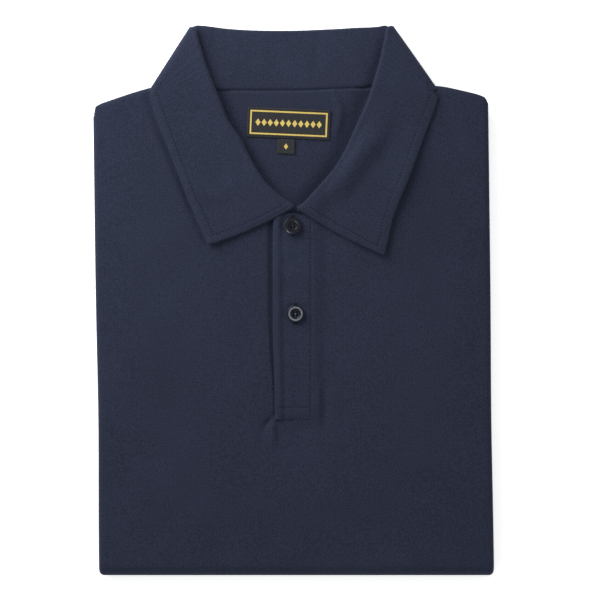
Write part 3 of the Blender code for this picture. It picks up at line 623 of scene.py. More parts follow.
@dataclass(frozen=True)
class FrontPanel:
    """Front: neckline and slit cut, sides folded behind, lower half folded up behind."""

    stack: FoldedStack
    pitch: float = 2.5
    seam_pitch: float = 0.85
    leaf_pitch: float = 1.6
    beneath_pitch: float = 5.0
    # The rows lie 1 mm apart from the slit's foot down to here
    fine_foot: float = -104.0
    hem_from_edge: float = 20.0
    hem_needles: float = 4.6
    groove: float = 0.22
    foot_height: float = 0.85

    def placket_gap(self, x: Array, y: Array) -> Array:
        """Depth of the cloth's dip beside the placket's free edge, deep at the collar and shallow at the foot."""
        depth, bank, width = (read_table(table, y) for table in (GAP_DEPTH, GAP_BANK, GAP_WIDTH))
        return np.where((x < 0.0) & (x > -30.0), depth * ease((x - bank) / width), 0.0)

    def foot_rise(self, x: Array, y: Array) -> Array:
        """Height that the cloth gains just below the placket's foot, which it is sewn to.

        Args:
            x: Places across.
            y: Places along.

        Returns:
            The height at those places.
        """
        below = self.stack.slit_foot - y
        along = np.where(below > -0.01, ease(1.0 - below / 9.0), 0.0)
        beside = np.where(x > self.stack.slit_left - 0.01, 1.0, ease(below / 3.0))
        return self.foot_height * along * beside * ease((x + 14.0) / 4.0) * ease((20.0 - x) / 6.0)

    def columns(self) -> Array:
        """Section of the panel, left to right.

        Returns:
            Rows of x, depth from the mid-plane, and the x and z of the wall's direction.
        """
        stack = self.stack
        centre = stack.half_width - stack.fold_radius
        turns = np.linspace(math.pi, 0.0, 13)
        across, up = np.sin(turns), np.cos(turns)
        arc = [centre + stack.fold_radius * across, stack.fold_inner + stack.fold_radius * (1.0 + up), across, up]
        tuck_x = np.linspace(centre - stack.side_tuck, centre, 6)[:-1]
        tuck = np.stack(np.broadcast_arrays(tuck_x, stack.fold_inner, 0.0, -1.0), axis=1)
        side = np.concatenate([tuck, np.stack(arc, axis=1)])
        bands = (
            ((-centre, -131.0, -110.0), self.pitch),
            ((-110.0, -62.0), self.leaf_pitch),
            ((-62.0, -21.0), self.pitch),
            ((-21.0, stack.slit_left), self.seam_pitch),
            ((stack.slit_left, stack.slit_right), self.pitch),
            ((stack.slit_right, 27.0), self.seam_pitch),
            ((27.0, stack.neck_half, 110.0, 131.0, centre), self.pitch),
        )
        flat_x = np.concatenate([steps_between(stops, pitch)[1:] for stops, pitch in bands])[:-1]
        flat = np.stack(np.broadcast_arrays(flat_x, stack.half_height, 0.0, 1.0), axis=1)
        return np.concatenate([side * (-1.0, 1.0, -1.0, 1.0), flat, side[::-1]])

    def build(self) -> bpy.types.Object:
        """Build the panel as one closed cloth.

        Returns:
            The closed piece.
        """
        stack = self.stack
        x, depth, wall_x, wall_z = self.columns().T
        neckline = stack.neckline_y(np.clip(x, -stack.neck_half, stack.neck_half))
        start = np.where(np.abs(x) <= stack.neck_half, neckline, stack.shoulder_y(x))
        tucked = stack.shoulder_y(np.copysign(stack.half_width, x)) - 0.35 * (stack.half_width - np.abs(x))
        start = np.where(wall_z < 0.0, tucked, start)
        uppers = [start - near for near in (0.0, 0.5, 1.0, 2.0, 3.0)]
        uppers += [start - 3.0 + (stack.slit_foot - start + 3.0) * share for share in np.linspace(0.0, 1.0, 97)[1:]]
        slit_rows = len(uppers) - 1
        levels = [*steps_between((stack.slit_foot, self.fine_foot), 1.0)[1:],
                  *steps_between((self.fine_foot, stack.foot), self.pitch)[1:]]
        uppers += [np.full_like(x, level) for level in levels]
        hem_line = stack.hem_y - self.hem_from_edge
        beneath = np.concatenate([steps_between(stops, pitch)[1:] for stops, pitch in (
            ((stack.foot, hem_line - self.hem_needles - 3.0), self.beneath_pitch),
            ((hem_line - self.hem_needles - 3.0, hem_line + 3.0), 0.7),
            ((hem_line + 3.0, stack.hem_y), 1.8),
        )])
        flat = wall_z > 0.99
        inner_x, inner_depth = x - wall_x * stack.front_wall, depth - wall_z * stack.front_wall

        all_y = np.array(uppers)
        all_x = np.broadcast_to(x, all_y.shape)
        rise = stack.front_top(all_x, all_y) - 2.0 * stack.half_height - self.placket_gap(all_x, all_y)
        seamed = (all_x >= stack.slit_right - 0.01) | ((all_y < stack.slit_foot + 0.01) & (all_x > stack.slit_left))
        seam_rise = np.where(seamed, stack.placket_rise(all_x, all_y), 0.0)
        rise = np.where(flat, rise + np.maximum(seam_rise, self.foot_rise(all_x, all_y)), 0.0)
        # Each row: outer x, y, z, then inner x, y, z, then the run along the cloth
        rows = []
        for y, lift in zip(uppers, rise):
            shift, middle = stack.lean(x, y), stack.half_height + lift
            rows.append((x + shift, y, middle + depth, inner_x + shift, y, middle + inner_depth, y))
        shift, middle = stack.lean(x, stack.foot), stack.half_height
        for turn in np.linspace(0.0, math.pi, 15)[1:]:
            across, up = math.sin(turn), math.cos(turn)
            rows.append((x + shift, stack.foot - depth * across, middle + depth * up,
                         inner_x + shift, stack.foot - inner_depth * across, middle + inner_depth * up,
                         stack.foot - middle * turn))
        for y in beneath:
            shift = stack.lean(x, y)
            lift = self.beneath_lift(x, y) * ease((y - stack.foot) / 30.0)
            for line in (hem_line, hem_line - self.hem_needles):
                lift = lift + self.groove * bell(y - line, 0.9)
            lift = middle + np.where(flat, lift, 0.0)
            rows.append((x + shift, y, lift - depth, inner_x + shift, y, lift - inner_depth,
                         stack.foot - math.pi * middle - (y - stack.foot)))
        grid = np.array([np.broadcast_arrays(*row) for row in rows]).transpose(0, 2, 1)
        weave = np.stack([np.broadcast_to(x, grid.shape[:2]), grid[..., 6]], axis=2)
        present = np.ones((len(rows) - 1, len(x) - 1), dtype=bool)
        first, last = (int(np.argmin(np.abs(x - edge))) for edge in (stack.slit_left, stack.slit_right))
        present[:slit_rows, first:last] = False
        return cloth_shell("front_panel", grid[..., :3], grid[..., 3:6], weave, present)

    def beneath_lift(self, x: Array, y: Array | float) -> Array:
        """Depth of the creases of the half that lies down, which fade out before the side folds."""
        return creased(BENEATH_CREASES, x, y + 0.0 * x) * ease((self.stack.half_width - 6.0 - np.abs(x)) / 9.0)

    def hem_runs(self) -> list[tuple[Array, Array]]:
        """Run the hem's two needle rows along the face that lies down.

        Returns:
            Their lines and normals.
        """
        x = np.linspace(-134.0, 134.0, 180)
        runs = []
        for needle in (0.0, self.hem_needles):
            y = np.full_like(x, self.stack.hem_y - self.hem_from_edge - needle)
            path = np.stack([x + self.stack.lean(x, y), y, self.beneath_lift(x, y) + self.groove], axis=1)
            runs.append((path, np.broadcast_to((0.0, 0.0, -1.0), path.shape)))
        return runs


@dataclass(frozen=True)
class BackPanel:
    """Back: lies beneath the front and shows inside the neck, where the labels are sewn to it."""

    stack: FoldedStack
    front: FrontPanel
    pitch: float = 2.2

    def face(self, x: Array, y: Array) -> Array:
        """Height of its inner face, creases included; it makes room for the front's dip beside the placket.

        Args:
            x: Places across.
            y: Places along.

        Returns:
            The height at those places.
        """
        room = self.front.placket_gap(x, y) * ease((62.0 - y) / 6.0)
        seam = self.stack.neck_seam_depth(x) * bell(self.stack.back_neck_y(x) - y, 0.8)
        return self.stack.back_top(x, y) + creased(BACK_CREASES, x, y) - room - seam

    def build(self) -> bpy.types.Object:
        """Build the panel as one closed cloth, with its rows closest at the neck.

        Returns:
            The closed piece.
        """
        stack, neck_length = self.stack, 110.0
        x = steps_between((-131.0, -110.0, -stack.neck_half, stack.neck_half, 110.0, 131.0), self.pitch)
        start = np.where(np.abs(x) <= stack.neck_half, stack.back_neck_y(x), stack.shoulder_y(x) - 0.2)
        neck_rows = [0.0, 0.4, 0.8, 1.3, 2.0, *np.linspace(0.0, neck_length, 62)[2:]]
        past_neck = stack.foot - 1.0 - start + neck_length
        y = [start - near for near in neck_rows]
        y += [start - neck_length + past_neck * share for share in np.linspace(0.0, 1.0, 24)[1:]]
        y = np.array(y)
        x = np.broadcast_to(x, y.shape)
        outer = np.stack([x + stack.lean(x, y), y, self.face(x, y)], axis=2)
        return cloth_shell("back_panel", outer, outer - (0.0, 0.0, stack.back_wall), outer[..., :2])


@dataclass(frozen=True)
class HiddenLayers:
    """Sleeves, side flaps and lower back inside the stack: one rounded solid with layered ends."""

    stack: FoldedStack
    top_y: float = 143.6
    setback: float = 4.0
    edge_sink: float = 2.6
    middle_sink: float = 3.9
    lower_lift: float = 0.6
    layers: int = 4
    layer_round: float = 1.8
    zip_steps: int = 8
    end_steps: int = 9

    @property
    def low(self) -> float:
        """Depth of the flanges' lower face, above the front's tucked edge."""
        return self.stack.fold_inner + self.stack.front_wall + self.stack.seam_gap

    @property
    def top(self) -> float:
        """Depth of the upper face."""
        return self.stack.half_height - self.stack.front_wall - self.stack.seam_gap

    def section(self) -> Array:
        """Half-section as (x, depth) rows, left to right.

        Returns:
            The rows.
        """
        stack = self.stack
        centre = stack.half_width - stack.fold_radius
        low, top = self.low, self.top
        zip_x = centre - stack.side_tuck - stack.seam_gap
        zip_line = [(zip_x, level) for level in np.linspace(0.0, low, self.zip_steps + 1)]
        flange = [(centre - 6.0, low), (centre - 2.0, low + 0.3), (centre - 0.9, low + 0.8),
                  (centre - 0.4, (low + top) / 2.0), (centre - 0.9, top - 0.8), (centre - 2.0, top - 0.3),
                  (centre - 5.0, top)]
        flat = steps_between((zip_x, 4.0), 4.0)
        right = np.array(zip_line + flange + [(x, top) for x in flat])
        return np.concatenate([right * (-1.0, 1.0), [(0.0, top)], right[::-1]])

    def build(self) -> bpy.types.Object:
        """Build the solid and its layered end.

        Returns:
            The closed piece.
        """
        stack, section = self.stack, self.section()
        x, depth = section.T
        zip_x = abs(section[0, 0])
        share_deep = np.clip((depth - self.low) / (self.top - self.low), 0.0, 1.0)
        sink = self.edge_sink + (self.middle_sink - self.edge_sink) * ease((zip_x - np.abs(x)) / 20.0)
        drop, lift = share_deep * sink, share_deep * self.lower_lift
        end = np.minimum(self.top_y, stack.shoulder_y(x) - self.setback)
        inside = ease((zip_x - np.abs(x)) / 12.0)
        rows = []
        for share in np.linspace(0.0, 1.0, 24):
            y = end + (stack.foot - end) * share
            level = stack.half_height + depth - drop + share_deep * stack.crown(x, y)
            rows.append(np.stack([x + stack.lean(x, y), y, level], axis=1))
        for turn in np.linspace(0.0, math.pi, 13)[1:-1]:
            upper = math.cos(turn / 2.0) ** 2
            reach = depth - drop * upper - lift * (1.0 - upper)
            rows.append(np.stack([x + stack.lean(x, stack.foot), stack.foot - reach * math.sin(turn),
                                  stack.half_height + reach * math.cos(turn)], axis=1))
        for share in np.linspace(1.0, 0.0, 24):
            stagger = 4.0 * inside * share_deep * max(0.0, 1.0 - share / 0.3)
            y = end + (stack.foot - end) * share - stagger
            rows.append(np.stack([x + stack.lean(x, y), y, stack.half_height - depth + lift], axis=1))
        return self.close(np.array(rows), section, zip_x)

    def close(self, rows: Array, section: Array, zip_x: float) -> bpy.types.Object:
        """Skin the rows, and close the collar end with a groove between each layer and the next.

        Args:
            rows: Points of the solid, (rows, section points, 3).
            section: The section that each row follows.
            zip_x: Where the flanges that reach into the side folds start.

        Returns:
            The closed piece.
        """
        count, width = rows.shape[:2]
        points = rows.reshape(-1, 3).tolist()
        faces = grid_quads(np.ones((count - 1, width - 1), dtype=bool), width).tolist()
        flat = [j for j, (x, depth) in enumerate(section) if abs(x) <= zip_x + 0.01 and depth > self.top - 0.01]
        middle = self.stack.half_height
        seam_levels = (middle + self.low * np.linspace(1.0, -1.0, 2 * self.zip_steps + 1)).tolist()
        lines = []
        for j in flat:
            top, foot = rows[0, j], rows[-1, j]
            upper = np.linspace(top[2], seam_levels[0], self.end_steps)[1:-1]
            lower = np.linspace(seam_levels[-1], foot[2], self.end_steps)[1:-1]
            inside = float(ease((zip_x - abs(section[j, 0])) / 12.0))
            line = [j]
            for level in [*upper, *seam_levels, *lower]:
                share = (top[2] - level) / (top[2] - foot[2])
                phase = (share * self.layers) % 1.0
                round_out = math.sqrt(max(0.0, 1.0 - (2.0 * phase - 1.0) ** 2))
                waver = 0.5 * math.sin(section[j, 0] / 17.0 + 2.0 * int(share * self.layers))
                y = top[1] + (foot[1] - top[1]) * share + inside * (self.layer_round * (round_out - 1.0) + waver)
                points.append([float(top[0]), float(y), float(level)])
                line.append(len(points) - 1)
            line.append((count - 1) * width + j)
            lines.append(line)
        for first, second in zip(lines, lines[1:]):
            faces += np.stack([first[:-1], second[:-1], second[1:], first[1:]], axis=1).tolist()
        for line, group in ((lines[0], range(self.zip_steps, flat[0])),
                            (lines[-1], range(width - 1 - self.zip_steps, flat[-1], -1))):
            upper_ring = list(group) + line[:self.end_steps - 1]
            lower_ring = [(count - 1) * width + j for j in group] + line[:-self.end_steps:-1]
            for ring in (upper_ring, lower_ring):
                outline = [Vector((points[v][0], points[v][2], 0.0)) for v in ring]
                faces += [[ring[corner] for corner in triangle] for triangle in tessellate_polygon([outline])]
        return link_mesh("hidden_layers", np.array(points), faces, np.array(points) * (1.0, 1.0, 0.0), weld=0.02)


# ---------------------------------------------------------------- collar


@dataclass
class Collar:
    """Two-ply turn-down collar: stand, roll and fall in one, with an edge stitch round its leaves."""

    stack: FoldedStack
    wall: float = 1.7
    roll_radius: float = 1.6
    roll_rise: float = 0.35
    stand_level: tuple[float, float] = (15.9, 12.7)
    fall_level: tuple[float, float] = (19.1, 9.5)
    edge_level: tuple[float, float] = (17.8, 10.3)
    seam_level: tuple[float, float] = (16.0, 12.7)
    droop_depth: float = 6.3
    droop_from: float = 150.0
    droop_to: float = 195.0
    leaf_gap: float = 0.35
    front_edge_bow: float = 1.6
    crease_angles: tuple[float, ...] = (90.0, 60.0, 30.0, 0.0, -30.0, -60.0, -90.0)
    # Closer together beside the seam, for the groove that it pulls in
    stand_shares: tuple[float, ...] = (0.0, 0.012, 0.026, 0.045, 0.08, 0.15, 0.25, 0.37, 0.49, 0.61, 0.73, 0.86)
    roll_steps: int = 12
    stitch_inset: float = 6.3
    stitch_groove: float = 0.14
    edge_puff: float = 0.03
    edge_drop: float = 0.7
    edge_reach: float = 6.4
    tip_radius: float = 2.2
    pitch: float = 1.7
    fine_pitch: float = 0.75

    @property
    def stand_steps(self) -> int:
        """Number of rows between the seam and the roll."""
        return len(self.stand_shares)

    @property
    def fall_shares(self) -> Array:
        """Shares of the fall from its roll to its edge, closer together where the edge stitch runs."""
        return np.concatenate([np.linspace(0.0, 0.84, 26)[1:], np.linspace(0.84, 1.0, 17)[1:]])

    def droop(self, y: Array) -> Array:
        """Fall of the collar towards the table past the shoulders."""
        return self.droop_depth * np.maximum(0.0, (y - self.droop_from) / (self.droop_to - self.droop_from)) ** 1.6

    @staticmethod
    def roll_direction(seam: Array, roll: Array, edge: Array) -> Array:
        """Plan direction in which the roll bulges: away from both the seam and the edge."""
        return -unit(unit(seam - roll) + unit(edge - roll))

    def section_line(self, seam: Array, centre: Array, normal: Array, bulge: Array, fall: Array) -> Array:
        """Mid-line of one section: stand, roll, then the given fall points.

        Args:
            seam: Where the stand is sewn.
            centre: Centre of the roll.
            normal: Direction from the roll's centre to the fall.
            bulge: Direction in which the roll bulges.
            fall: Points of the fall.

        Returns:
            The points from the seam to the edge.
        """
        stand = seam + (centre - self.roll_radius * normal - seam) * np.array(self.stand_shares)[:, None]
        turns = np.linspace(0.0, math.pi, self.roll_steps + 1)[:, None]
        roll = centre + self.roll_radius * (bulge * np.sin(turns) - normal * np.cos(turns))
        return np.concatenate([stand, roll, fall])

    def leaf_section(self, row: tuple[float, ...], index: int) -> Array:
        """One section of a front leaf from its table row.

        Args:
            row: The table row.
            index: Its number, counted from the placket.

        Returns:
            The points from the seam to the edge.
        """
        stack = self.stack
        seam_xy, roll_xy, edge_xy = (np.array(row[k:k + 2]) for k in (0, 2, 4))
        roll_height, lift = row[6] + self.roll_rise, row[7]
        bulge_xy = self.roll_direction(seam_xy, roll_xy, edge_xy)
        centre_xy = roll_xy - (self.roll_radius + self.wall / 2.0) * bulge_xy
        over = self.leaf_gap + self.wall / 2.0
        under_roll = float(stack.cover_top(*roll_xy))
        roll_level = max(self.fall_level[0], under_roll + over + roll_height)
        centre = np.array((*centre_xy, roll_level - self.roll_radius))
        seam = np.array((*seam_xy, max(self.seam_level[0], float(stack.front_top(*seam_xy)) - 0.2)))
        bow = self.front_edge_bow * max(0.0, 1.0 - index / 3.5)
        edge_dir = unit(edge_xy - centre_xy)
        side = np.array((edge_dir[1], -edge_dir[0])) * (1.0 if edge_dir[0] > 0.0 else -1.0)
        share = self.fall_shares[:, None]
        xy = centre_xy + (edge_xy - centre_xy) * share + side * bow * np.sin(math.pi * share)
        rest = stack.cover_top(xy[:, 0], xy[:, 1]) + over
        share = self.fall_shares
        level = rest + (roll_level - under_roll - over) * (1.0 - share) ** 1.8 + lift * share ** 2
        fall = np.column_stack([xy, level])
        return self.section_line(seam, centre, np.array((0.0, 0.0, 1.0)), np.array((*bulge_xy, 0.0)), fall)

    def crease_section(self, side: Side, angle: float) -> Array:
        """One section round a side crease; the angle runs from 90 on the leaf's side to -90 on the back's.

        Args:
            side: Side of the shirt.
            angle: Turn round the crease, in degrees.

        Returns:
            The points from the seam to the edge.
        """
        row = SIDE_CREASES[side]
        seam_xy, roll_xy, edge_xy = (np.array(row[k:k + 2]) for k in (0, 2, 4))
        turn = math.radians(angle)
        up = np.array((0.0, 0.0, 1.0))

        def outward(direction: Array) -> Array:
            """Level direction away from the shirt, square to direction."""
            plan = unit((direction[1], -direction[0]))
            return np.array((*plan * math.copysign(1.0, plan[0] * side.value), 0.0))

        def round_point(xy: Array, levels: Sequence[float], out: Array) -> Array:
            """Point on the half circle between two levels at xy."""
            radius = (levels[0] - levels[1]) / 2.0
            return np.array((*xy, levels[1] + radius)) + radius * (out * math.cos(turn) + up * math.sin(turn))

        out_seam = outward(roll_xy - seam_xy)
        out_edge = outward(roll_xy - edge_xy)
        out_roll = unit(out_seam + out_edge)
        bulge = np.array((*self.roll_direction(seam_xy, roll_xy, edge_xy), 0.0))
        normal = unit(out_roll * math.cos(turn) + up * math.sin(turn))
        middle, low = ((self.fall_level[k] + self.stand_level[k]) / 2.0 for k in (0, 1))
        centre = round_point(roll_xy, (middle, low), out_roll)
        seam = round_point(seam_xy, self.seam_level, out_seam)
        fall = []
        for share in self.fall_shares:
            levels = [self.fall_level[k] + (self.edge_level[k] - self.fall_level[k]) * share for k in (0, 1)]
            out = unit(out_roll + (out_edge - out_roll) * share)
            fall.append(round_point(roll_xy + (edge_xy - roll_xy) * share, levels, out))
        return self.section_line(seam, centre, normal, bulge, np.array(fall))

    def back_section(self, row: tuple[float, ...]) -> Array:
        """One section across the back of the neck: the stand lies over the fall.

        Args:
            row: The table row.

        Returns:
            The points from the seam to the edge.
        """
        seam_xy, roll_xy, edge_xy = (np.array(row[k:k + 2]) for k in (0, 2, 4))
        bulge = np.array((*self.roll_direction(seam_xy, roll_xy, edge_xy), 0.0))
        centre = np.array((*roll_xy, (self.fall_level[1] + self.stand_level[1]) / 2.0))
        middle = 0.5 * float(ease((80.0 - abs(row[0])) / 60.0))
        seam = np.array((*seam_xy, self.seam_level[1] + middle))
        share = self.fall_shares[:, None]
        levels = self.fall_level[1] + (self.edge_level[1] - self.fall_level[1]) * self.fall_shares
        fall = np.column_stack([roll_xy + (edge_xy - roll_xy) * share, levels])
        return self.section_line(seam, centre, np.array((0.0, 0.0, -1.0)), bulge, fall)

    def coarse(self) -> tuple[Array, Array, Array]:
        """All sections from the left front end round the back to the right, and how much each is leaf or back.

        Returns:
            The sections, and their shares of leaf and of back.
        """
        leaves = [self.leaf_section(row, index) for index, row in enumerate(LEFT_LEAF)]
        left = [self.crease_section(Side.LEFT, angle) for angle in self.crease_angles]
        back = [self.back_section(row) for row in BACK_NECK]
        right = [self.crease_section(Side.RIGHT, angle) for angle in self.crease_angles[::-1]]
        right_leaves = [self.leaf_section(row, index) for index, row in enumerate(RIGHT_LEAF)][::-1]
        grid = np.array(leaves + left + back + right + right_leaves)
        sizes = (len(leaves), len(left), len(back), len(right), len(right_leaves))
        leaf = np.repeat((1.0, 0.0, 0.0, 0.0, 1.0), sizes)
        behind = np.repeat((0.0, 0.0, 1.0, 0.0, 0.0), sizes)
        return grid, leaf, behind

    def surface(self) -> tuple[Array, Array]:
        """Fine mid-surface of the collar and its normals, which point out of the leaves' faces.

        Returns:
            The points and their normals.
        """
        grid, leaf, behind = self.coarse()
        apart = np.linalg.norm(np.diff(grid, axis=0), axis=2)
        knots = np.concatenate([[0.0], np.cumsum(np.maximum(apart.mean(axis=1), 0.3))])
        near_end = np.arange(len(apart))
        near_end = np.minimum(near_end, near_end[::-1]) < 3
        places = [0.0]
        for k, widest in enumerate(apart.max(axis=1)):
            count = max(2, math.ceil(widest / (self.fine_pitch if near_end[k] else self.pitch)))
            places += np.linspace(knots[k], knots[k + 1], count + 1)[1:].tolist()
        places = np.array(places)
        grid = smooth_through(knots, grid, places)
        leaf = smooth_through(knots, leaf, places)[:, None]
        behind = smooth_through(knots, behind, places)[:, None]
        grid[..., 2] -= self.droop(grid[..., 1])
        grid = self.fill_corners(self.round_tips(grid))
        fall_from = self.stand_steps + self.roll_steps
        past = run_lengths(grid, 1) - run_lengths(grid, 1)[:, fall_from:fall_from + 1]
        x, y = grid[..., 0], grid[..., 1]
        on_fall = leaf * ease((past + 1.0) / 7.0)
        grid[..., 2] += creased(LEAF_CREASES, x, y) * on_fall
        nearest = np.minimum(*self.stitch_distance(grid))
        grid[..., 2] -= self.edge_drop * on_fall * np.clip(1.0 - nearest / self.edge_reach, 0.0, 1.0) ** 2
        on_stand = behind * np.where(np.arange(grid.shape[1]) < self.stand_steps + 4, 1.0, 0.0)
        groove = self.stack.neck_seam_depth(x) * bell(run_lengths(grid, 1), 0.8)
        grid[..., 2] += (creased(STAND_CREASES, x, y) - groove) * on_stand
        normals = surface_normals(grid)
        if normals[len(normals) // 8, -10, 2] < 0.0:
            normals = -normals
        return grid, normals

    def round_tips(self, grid: Array) -> Array:
        """Round the two points of the leaves.

        Args:
            grid: The mid-surface, which is changed.

        Returns:
            The same grid.
        """
        radius = self.tip_radius
        for ends in (grid, grid[::-1]):
            from_front = np.cumsum(np.pad(np.linalg.norm(np.diff(ends, axis=0), axis=2), ((1, 0), (0, 0))), axis=0)
            from_edge = run_lengths(ends[:, ::-1], 1)[:, ::-1]
            u = np.clip(1.0 - from_front / radius, 0.0, 1.0)[..., None]
            v = np.clip(1.0 - from_edge / radius, 0.0, 1.0)[..., None]
            inward_front = unit(np.gradient(ends, axis=0))
            inward_edge = -unit(np.gradient(ends, axis=1))
            shift_front = radius * u * (1.0 - np.sqrt(1.0 - v * v / 2.0))
            shift_edge = radius * v * (1.0 - np.sqrt(1.0 - u * u / 2.0))
            ends += inward_front * shift_front + inward_edge * shift_edge
        return grid

    def fill_corners(self, grid: Array) -> Array:
        """Draw the cloth into the two back corners, so that the outline has no dip where the folds meet.

        Args:
            grid: The mid-surface.

        Returns:
            The mid-surface with its corners filled.
        """
        for at, back, outwards in BACK_CORNERS:
            x, y = grid[..., 0], grid[..., 1]
            shift_x = outwards * bell(x - at, 3.4) * ease((y - 178.0) / 16.0)
            shift_y = back * bell(x - at, 1.8) * ease((y - 184.0) / 9.0)
            grid = grid + np.stack([shift_x, shift_y, np.zeros_like(x)], axis=2)
        return grid

    def stitch_distance(self, grid: Array) -> tuple[Array, Array]:
        """Distance of every point from the outer edge and from the nearer front end."""
        along = run_lengths(grid, 0)
        return run_lengths(grid[:, ::-1], 1)[:, ::-1], np.minimum(along, along[-1] - along)

    def build(self) -> bpy.types.Object:
        """Build the collar as one closed cloth, thinner along its edge stitch and fuller beside it.

        Returns:
            The closed piece.
        """
        grid, normals = self.surface()
        from_edge, from_front = self.stitch_distance(grid)
        on_fall = np.arange(grid.shape[1]) >= self.stand_steps + self.roll_steps - 2
        from_front = np.where(on_fall, from_front, 99.0)
        nearest = np.minimum(from_edge, from_front)
        groove = bell(nearest - self.stitch_inset, 0.85)
        puff = bell(nearest - self.stitch_inset * 0.5, 1.3) + 0.5 * bell(nearest - self.stitch_inset - 2.2, 1.2)
        half = (self.wall / 2.0) * (1.0 - self.stitch_groove * groove + self.edge_puff * puff)
        half = half[..., None]
        self.face_points = grid + normals * half
        self.face_normals = normals
        weave = np.stack([run_lengths(grid, 0)[:, -1:] * np.ones(grid.shape[1]), run_lengths(grid, 1)], axis=2)
        return cloth_shell("turned_collar", self.face_points, grid - normals * half, weave, rim_bulge=0.5)

    def edge_runs(self) -> list[tuple[Array, Array]]:
        """Run the edge stitch down one front edge, round the outer edge and up the other.

        Returns:
            Its line and normals.
        """
        points, back = self.face_points, slice(None, None, -1)
        from_edge, from_front = self.stitch_distance(points)
        from_left, from_right = run_lengths(points, 0), run_lengths(points[::-1], 0)
        first = self.stand_steps + self.roll_steps + 1
        last = int(np.argmax(from_edge.mean(axis=0)[first:] < self.stitch_inset)) + first
        # Lines of the grid with the distance run along each; the stitch lies where that reaches the inset
        cuts = [(from_left[:, column], (slice(None), column)) for column in range(first, last)]
        cuts += [(from_edge[row, ::-1], (row, back)) for row in range(len(points))
                 if from_front[row, -1] >= self.stitch_inset]
        cuts += [(from_right[:, column], (back, column)) for column in range(last - 1, first - 1, -1)]
        line, normals = (np.array([[np.interp(self.stitch_inset, run, values[cells][:, k]) for k in range(3)]
                                   for run, cells in cuts]) for values in (points, self.face_normals))
        return [(line, unit(normals))]


# ---------------------------------------------------------------- placket, buttons, labels


